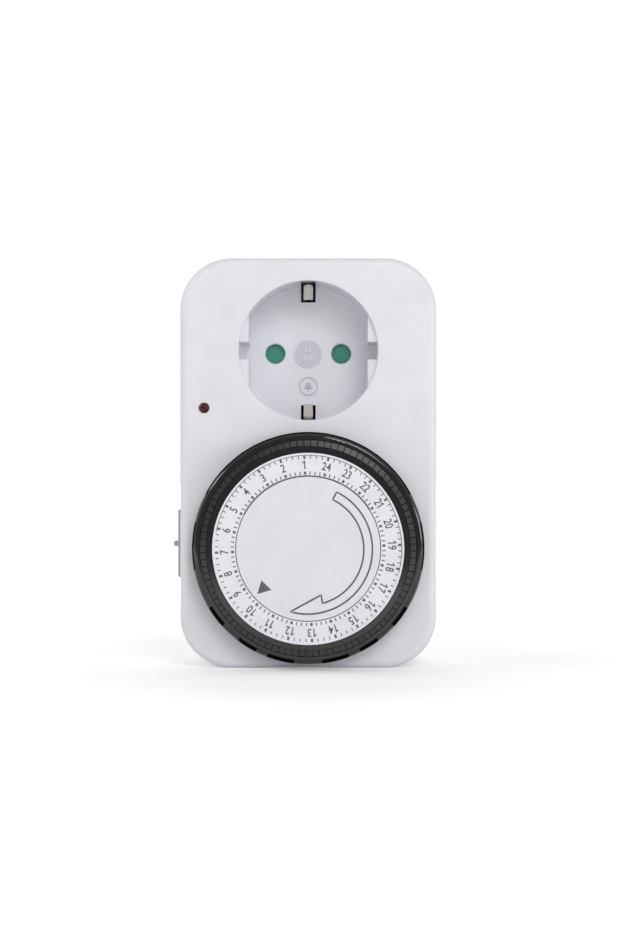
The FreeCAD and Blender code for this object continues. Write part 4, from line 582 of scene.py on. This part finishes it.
def cut_out(corners, thickness):
    """A flat plate in the dial's plane, with corners given as (across, up)."""
    deselect()
    bpy.ops.mesh.primitive_circle_add(vertices=len(corners), fill_type="NGON")
    plate = bpy.context.object
    for vertex, (across, up) in zip(plate.data.vertices, corners):
        vertex.co = (across, -thickness / 2, up)
    bpy.ops.object.mode_set(mode="EDIT")
    bpy.ops.mesh.select_all(action="SELECT")
    bpy.ops.mesh.extrude_region_move(TRANSFORM_OT_translate={"value": (0, thickness, 0)})
    bpy.ops.mesh.select_all(action="SELECT")
    bpy.ops.mesh.normals_make_consistent(inside=False)
    bpy.ops.object.mode_set(mode="OBJECT")
    return plate


def slab(width, bottom, top, thickness):
    """An upright rectangle, centred across."""
    half = width / 2
    return cut_out([(-half, bottom), (half, bottom), (half, top), (-half, top)], thickness)


# %% [markdown]
# The hours run anticlockwise, because the dial turns clockwise past a fixed mark. Their figures
# are bold and narrow. They could be cut out as plates, but a text object already has their curves:
# it is made a mesh, and narrowed there. The font's 1 is so plain that it reads as a stroke at this
# size, so a small flag is added to it.

# %% Numerals
NUMERAL_RADIUS = 22.9 * MM
NUMERAL_HEIGHT = 2.3 * MM
DIGIT_PITCH = 1.28 * MM
CAPITAL_SHARE = 0.72
CONDENSED = 0.8
BOLD = 0.05 * MM
CURVE_STEPS = 4
# A quarter turn that raises what lies on the table, so that it faces the front.
RAISED = Matrix.Rotation(math.radians(90), 4, "X")
# The flag of a 1, in widths of its stem: how far it reaches out, and the top and foot of its end.
FLAG_REACH, FLAG_TOP, FLAG_FOOT = 1.4, 1.3, 2.4


def figure(character, height, thickness):
    """One bold condensed figure in the dial's plane, centred on the origin. A 1 gets its flag."""
    deselect()
    bpy.ops.object.text_add()
    text = bpy.context.object
    text.data.body = character
    text.data.align_x = "CENTER"
    text.data.align_y = "CENTER"
    text.data.size = height / CAPITAL_SHARE
    text.data.offset = BOLD
    text.data.extrude = thickness / 2
    text.data.resolution_u = CURVE_STEPS
    bpy.ops.object.convert(target="MESH")
    shape = bpy.context.object
    shape.data.transform(RAISED @ Matrix.Diagonal((CONDENSED, 1, 1, 1)))
    shape.matrix_world = Matrix.Identity(4)
    if character != "1":
        return shape
    top = max(vertex.co.z for vertex in shape.data.vertices)
    left = min(vertex.co.x for vertex in shape.data.vertices)
    stem = max(vertex.co.x for vertex in shape.data.vertices) - left
    tip, middle = left - stem * FLAG_REACH, left + stem / 2
    flag = cut_out([(middle, top), (tip, top - stem * FLAG_TOP), (tip, top - stem * FLAG_FOOT),
                    (middle, top - stem * FLAG_TOP)], thickness)
    return merge([shape, flag])


def row_of(characters, height, pitch, thickness):
    """Figures side by side, centred on the origin."""
    figures = []
    for index, character in enumerate(characters):
        shape = figure(character, height, thickness)
        across = (index - (len(characters) - 1) / 2) * pitch
        shape.data.transform(Matrix.Translation((across, 0, 0)))
        figures.append(shape)
    return merge(figures)


def numeral(hour):
    """An hour's figures at their place on the dial, upright for a reader at its top."""
    figures = row_of(str(hour), NUMERAL_HEIGHT, DIGIT_PITCH, PLATE_FILM * 2)
    figures.data.transform(Matrix.Translation((0, 0, NUMERAL_RADIUS)))
    return at_dial(figures, -(FIRST_HOUR + (hour - 1) * 360 / HOURS))


numerals = join([numeral(hour) for hour in range(1, HOURS + 1)], "dial_numerals", "dial")
wear(numerals, ink_and_shadow_grey)
print("numerals:", len(numerals.data.polygons), "faces")

# %% [markdown]
# The quarter-hour marks are four stamps: a thin and a bold one for the outer edge, and a thin
# and a bold one beside the disc. Each stamp is modelled once at the top and copied round. An array
# modifier could do it too, but it can't leave out every fourth copy for the bold ones.

# %% Marks
# Each stamp has its middle's radius, its length and its width.
STAMPS = {
    "outer_quarter": (25.1 * MM, 0.85 * MM, 0.26 * MM),
    "outer_hour": (25.1 * MM, 0.95 * MM, 0.62 * MM),
    "inner_quarter": (20.75 * MM, 0.95 * MM, 0.3 * MM),
    "inner_hour": (20.75 * MM, 0.8 * MM, 0.7 * MM),
}
CORNER_SHARE = 0.2


def stamp(radius, length, width):
    """A small bar of ink at the top of the dial, with slightly rounded corners."""
    deselect()
    bpy.ops.mesh.primitive_cube_add(size=1)
    block = bpy.context.object
    block.data.transform(Matrix.Diagonal((width, PLATE_FILM * 2, length, 1)))
    rounding = block.modifiers.new("rounding", "BEVEL")
    rounding.width = width * CORNER_SHARE
    rounding.segments = 1
    bpy.ops.object.modifier_apply(modifier=rounding.name)
    block.data.transform(Matrix.Translation((0, 0, radius)))
    return block


marks = []
for name, (radius, length, width) in STAMPS.items():
    first = stamp(radius, length, width)
    for quarter in range(QUARTERS):
        if (quarter % QUARTERS_IN_HOUR == 0) == name.endswith("hour"):
            marks.append(at_dial(copy_of(first), -(FIRST_HOUR + quarter * 360 / QUARTERS)))
    bpy.data.objects.remove(first)
print("marks:", len(marks))
marks = join(marks, "dial_marks", "dial")
wear(marks, ink_and_shadow_grey)

# %% [markdown]
# The still disc in the middle has a curved arrow for the way the dial turns. It is an outline, so
# it is drawn as a curve with a round section, made a mesh and then pressed flat. Such a curve gets
# thinner towards a sharp corner, from the point before it. So the straight edges have points too,
# and the line stays as wide there as in its arcs.

# %% Arrow
ARROW_IN, ARROW_OUT = 15.06 * MM, 17.39 * MM
ARROW_START, ARROW_NOTCH, ARROW_TIP = 26.5, 165.4, 195.9
NOTCH_RADIUS, BARB_RADIUS, TIP_RADIUS = 15.44 * MM, 13.12 * MM, 17.93 * MM
BARB_ANGLE = 164.2
ARROW_LINE = 0.55 * MM
LONG_EDGE, SHORT_EDGE = 12, 4


def on_face(radius, clockwise):
    """A point of the dial's face, measured from its centre."""
    angle = math.radians(clockwise)
    return Vector((radius * math.sin(angle), 0, radius * math.cos(angle)))


def arc(first, last, start, end, steps=48):
    """Points along the face while the angle and the radius both go from one value to another."""
    shares = [step / steps for step in range(steps + 1)]
    return [on_face(first + (last - first) * share, start + (end - start) * share) for share in shares]


def straight(start, end, steps):
    """Points between two corners, without the corners themselves."""
    return [start.lerp(end, step / steps) for step in range(1, steps)]


outer_edge = arc(ARROW_OUT, TIP_RADIUS, ARROW_START, ARROW_TIP)
inner_edge = arc(NOTCH_RADIUS, ARROW_IN, ARROW_NOTCH, ARROW_START)
barb = on_face(BARB_RADIUS, BARB_ANGLE)
outline = outer_edge + straight(outer_edge[-1], barb, LONG_EDGE) + [barb]
outline += straight(barb, inner_edge[0], SHORT_EDGE) + inner_edge
outline += straight(inner_edge[-1], outer_edge[0], SHORT_EDGE)
line = bpy.data.curves.new("arrow_line", "CURVE")
line.dimensions = "3D"
line.bevel_depth = ARROW_LINE / 2
line.bevel_resolution = 1
spline = line.splines.new("POLY")
spline.points.add(len(outline) - 1)
for place, point in zip(outline, spline.points):
    point.co = (*place, 1)
spline.use_cyclic_u = True
arrow = bpy.data.objects.new("direction_arrow", line)
bpy.context.scene.collection.objects.link(arrow)
only(arrow)
bpy.ops.object.convert(target="MESH")
arrow = bpy.context.object
arrow.data.transform(Matrix.Diagonal((1, 2 * PLATE_FILM / ARROW_LINE, 1, 1)))
arrow = join([at_dial(arrow, 0)], "direction_arrow", "case")
wear(arrow, ink_and_shadow_grey)
print("arrow:", len(outline), "points")

# %% [markdown]
# The ring of numbers is a round label. A fine dark line along its outer edge is painted shadow: the shadow
# that the raised rim casts on the label, over half of the round at the top. Another along its inner edge,
# over a third of the round at the top, is painted shadow at the step down to the still disc. On the still
# disc, a solid triangle points at the time. All three are cut out as plates, which is the shortest way to a
# flat shape with sharp corners.

# %% Painted shadow lines and time mark
# Each painted shadow line has its outer radius, its width, and the angles where it starts and ends.
SHADOW_LINES = [(25.72 * MM, 0.16 * MM, -80, 105), (20.16 * MM, 0.2 * MM, -62, 58)]
MARK_CORNERS = [(-12.81, -8.6), (-10.08, -11.28), (-13.94, -12.4)]


def line_piece(radius, width, start, end):
    """A line of painted shadow along a part of a circle; the radius is its outer edge."""
    outer = arc(radius, radius, start, end)
    inner = arc(radius - width, radius - width, end, start)
    return at_dial(cut_out([(point.x, point.z) for point in outer + inner], PLATE_FILM * 2), 0)


edge_shadows = join([line_piece(*shadow_line) for shadow_line in SHADOW_LINES], "painted_edge_shadows", "dial")
# Painted shadow: the lines along the label's edges wear the grey of the print.
wear(edge_shadows, ink_and_shadow_grey)
mark = cut_out([(across * MM, up * MM) for across, up in MARK_CORNERS], PLATE_FILM * 2)
mark = join([at_dial(mark, 0)], "time_mark", "case")
wear(mark, ink_and_shadow_grey)
print("border:", len(edge_shadows.data.polygons), "faces, time mark:", len(mark.data.polygons), "faces")

# %% [markdown]
# ## Relief in the socket
# Inside the small ring on the socket's floor stands the sign for earth: three bars that get
# shorter, on a stem. The boss in the middle carries plain ratings. Both are part of the moulding.
# A boolean could join them to the case, but the case's mesh is left alone, so they are low plates that are
# sunk a little into the floor. The sign wears a darker grey than the case: painted shade, standing in for
# the shading along the edges of its strokes.

# %% Earth sign and ratings
SIGN_RISE = 0.35 * MM
BAR_HEIGHT = 0.3 * MM
SIGN_BARS = [(1.2 * MM, 0.77 * MM), (1.8 * MM, 0.12 * MM), (2.4 * MM, -0.53 * MM)]
STEM_WIDTH, STEM_BOTTOM, STEM_TOP = 0.3 * MM, -1.4 * MM, -0.5 * MM
RATINGS = [("16", 1.1 * MM), ("250", -1.1 * MM)]
RATING_HEIGHT, RATING_PITCH = 1.3 * MM, 0.9 * MM
strokes = [slab(width, rise - BAR_HEIGHT / 2, rise + BAR_HEIGHT / 2, SIGN_RISE * 2)
           for width, rise in SIGN_BARS]
strokes.append(slab(STEM_WIDTH, STEM_BOTTOM, STEM_TOP, SIGN_RISE * 2))
sign = merge(strokes)
sign.data.transform(Matrix.Translation((0, SOCKET_FLOOR, RING_Z)))
sign = join([sign], "earth_sign", "case")
# Painted shade: the sign's strokes are darker than the case they are moulded with.
wear(sign, relief_painted_shade_abs)
ratings = []
for characters, rise in RATINGS:
    row = row_of(characters, RATING_HEIGHT, RATING_PITCH, SIGN_RISE)
    row.data.transform(Matrix.Translation((0, SOCKET_FLOOR - BOSS_RISE, SOCKET_Z + rise)))
    ratings.append(row)
ratings = join(ratings, "socket_ratings", "case")
wear(ratings, dial_abs)
print("relief:", len(sign.data.polygons) + len(ratings.data.polygons), "faces")

# %% [markdown]
# ## Housing screws
# The four housing screws are zinc-plated, with a cross recess that is pressed in. The heads could
# get a drawn cross, but they sit deep in their holes, where only a real recess catches the
# light. One is modelled with its recess cut out, and copied to the four bosses, each turned to
# where it happened to stop.

# %% Housing screws
HEAD_RADIUS, HEAD_RISE, HEAD_EDGE = 2.7 * MM, 1.9 * MM, 0.6 * MM
SHANK_RADIUS, SHANK_LAP = 1.3 * MM, 0.1 * MM
CROSS_LENGTH, CROSS_WIDTH, CROSS_DEPTH = 2.9 * MM, 0.62 * MM, 1.1 * MM
ROUND_FACES, EDGE_STEPS = 48, 4
SMOOTH_ANGLE = math.radians(35)
TURN_BY_X, TURN_BY_Z = 900, 700
screws_low, screws_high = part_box("housing_screws")
head_y = screws_high.y - HEAD_RISE


def turned(radius, start, end):
    """A round bar along the depth."""
    deselect()
    bpy.ops.mesh.primitive_cylinder_add(vertices=ROUND_FACES, radius=radius, depth=end - start)
    rod = bpy.context.object
    rod.data.transform(Matrix.Translation((0, (start + end) / 2, 0)) @ RAISED)
    return rod


def housing_screw():
    """A pan head with a cross recess, and its shank."""
    head = turned(HEAD_RADIUS, head_y, screws_high.y)
    rounding = head.modifiers.new("rounding", "BEVEL")
    rounding.width = HEAD_EDGE
    rounding.segments = EDGE_STEPS
    bpy.ops.object.modifier_apply(modifier=rounding.name)
    for width, height in ((CROSS_LENGTH, CROSS_WIDTH), (CROSS_WIDTH, CROSS_LENGTH)):
        slot = slab(width, -height / 2, height / 2, CROSS_DEPTH * 2)
        slot.data.transform(Matrix.Translation((0, screws_high.y, 0)))
        only(head)
        cut = head.modifiers.new("cross", "BOOLEAN")
        cut.operation = "DIFFERENCE"
        cut.object = slot
        bpy.ops.object.modifier_apply(modifier=cut.name)
        bpy.data.objects.remove(slot)
    shank = turned(SHANK_RADIUS, screws_low.y, head_y + SHANK_LAP)
    screw = merge([head, shank])
    bpy.ops.object.shade_smooth_by_angle(angle=SMOOTH_ANGLE)
    return screw


model = housing_screw()
screws = []
for x in (screws_low.x + HEAD_RADIUS, screws_high.x - HEAD_RADIUS):
    for z in (screws_low.z + HEAD_RADIUS, screws_high.z - HEAD_RADIUS):
        screw = copy_of(model)
        turn = Matrix.Rotation(x * TURN_BY_X + z * TURN_BY_Z, 4, "Y")
        screw.data.transform(Matrix.Translation((x, 0, z)) @ turn)
        screws.append(screw)
bpy.data.objects.remove(model)
screws = join(screws, "housing_screws_cross", "case")
wear(screws, zinc)
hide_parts("housing_screws")
print("screws:", len(screws.data.polygons), "faces")

# %% [markdown]
# ## Walls round the earth strips
# Where an earth strip comes out of the back, the moulding closes round it, so nothing shines
# through the timer. The solids leave a slit there. Their meshes stay as they are, so a small
# wall in each groove of the plug closes it.

# %% Groove walls
BACK_FACE, WALL = 17 * MM, 2 * MM
GROOVE_WIDTH, GROOVE_RADIUS, GROOVE_END = 5 * MM, 17 * MM, 18.7 * MM
WALL_LAP = 0.05 * MM
walls = []
for side in (-1, 1):
    bottom, top = sorted((SOCKET_Z + side * GROOVE_RADIUS, SOCKET_Z + side * GROOVE_END))
    wall = slab(GROOVE_WIDTH, bottom, top, WALL - WALL_LAP * 2)
    wall.data.transform(Matrix.Translation((0, BACK_FACE - WALL / 2, 0)))
    walls.append(wall)
walls = join(walls, "groove_walls", "case")
wear(walls, case_abs)
print("groove walls:", len(walls.data.polygons), "faces")

# %% [markdown]
# ## Shutter spring
# The shutter's spring is a strip of steel, folded to and fro, that a plug presses nearly flat. On the real
# one the folds close up. The solid keeps its shape, and a bone for each fold would be a lot for a small
# piece that hides in the case. So a welded copy of the solid takes its place.

# %% Welded copy of the spring
WELD = 0.001 * MM
spring = bpy.data.objects.new("shutter_spring_strip", nodes["shutter_spring"].data.copy())
bpy.context.scene.collection.objects.link(spring)
only(spring)
bpy.ops.object.mode_set(mode="EDIT")
bpy.ops.mesh.select_all(action="SELECT")
bpy.ops.mesh.remove_doubles(threshold=WELD)
bpy.ops.object.mode_set(mode="OBJECT")
bpy.ops.object.shade_smooth_by_angle(angle=SMOOTH_ANGLE)
spring = join([spring], "shutter_spring_strip", "case")
wear(spring, zinc)
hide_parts("shutter_spring")
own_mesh(spring)
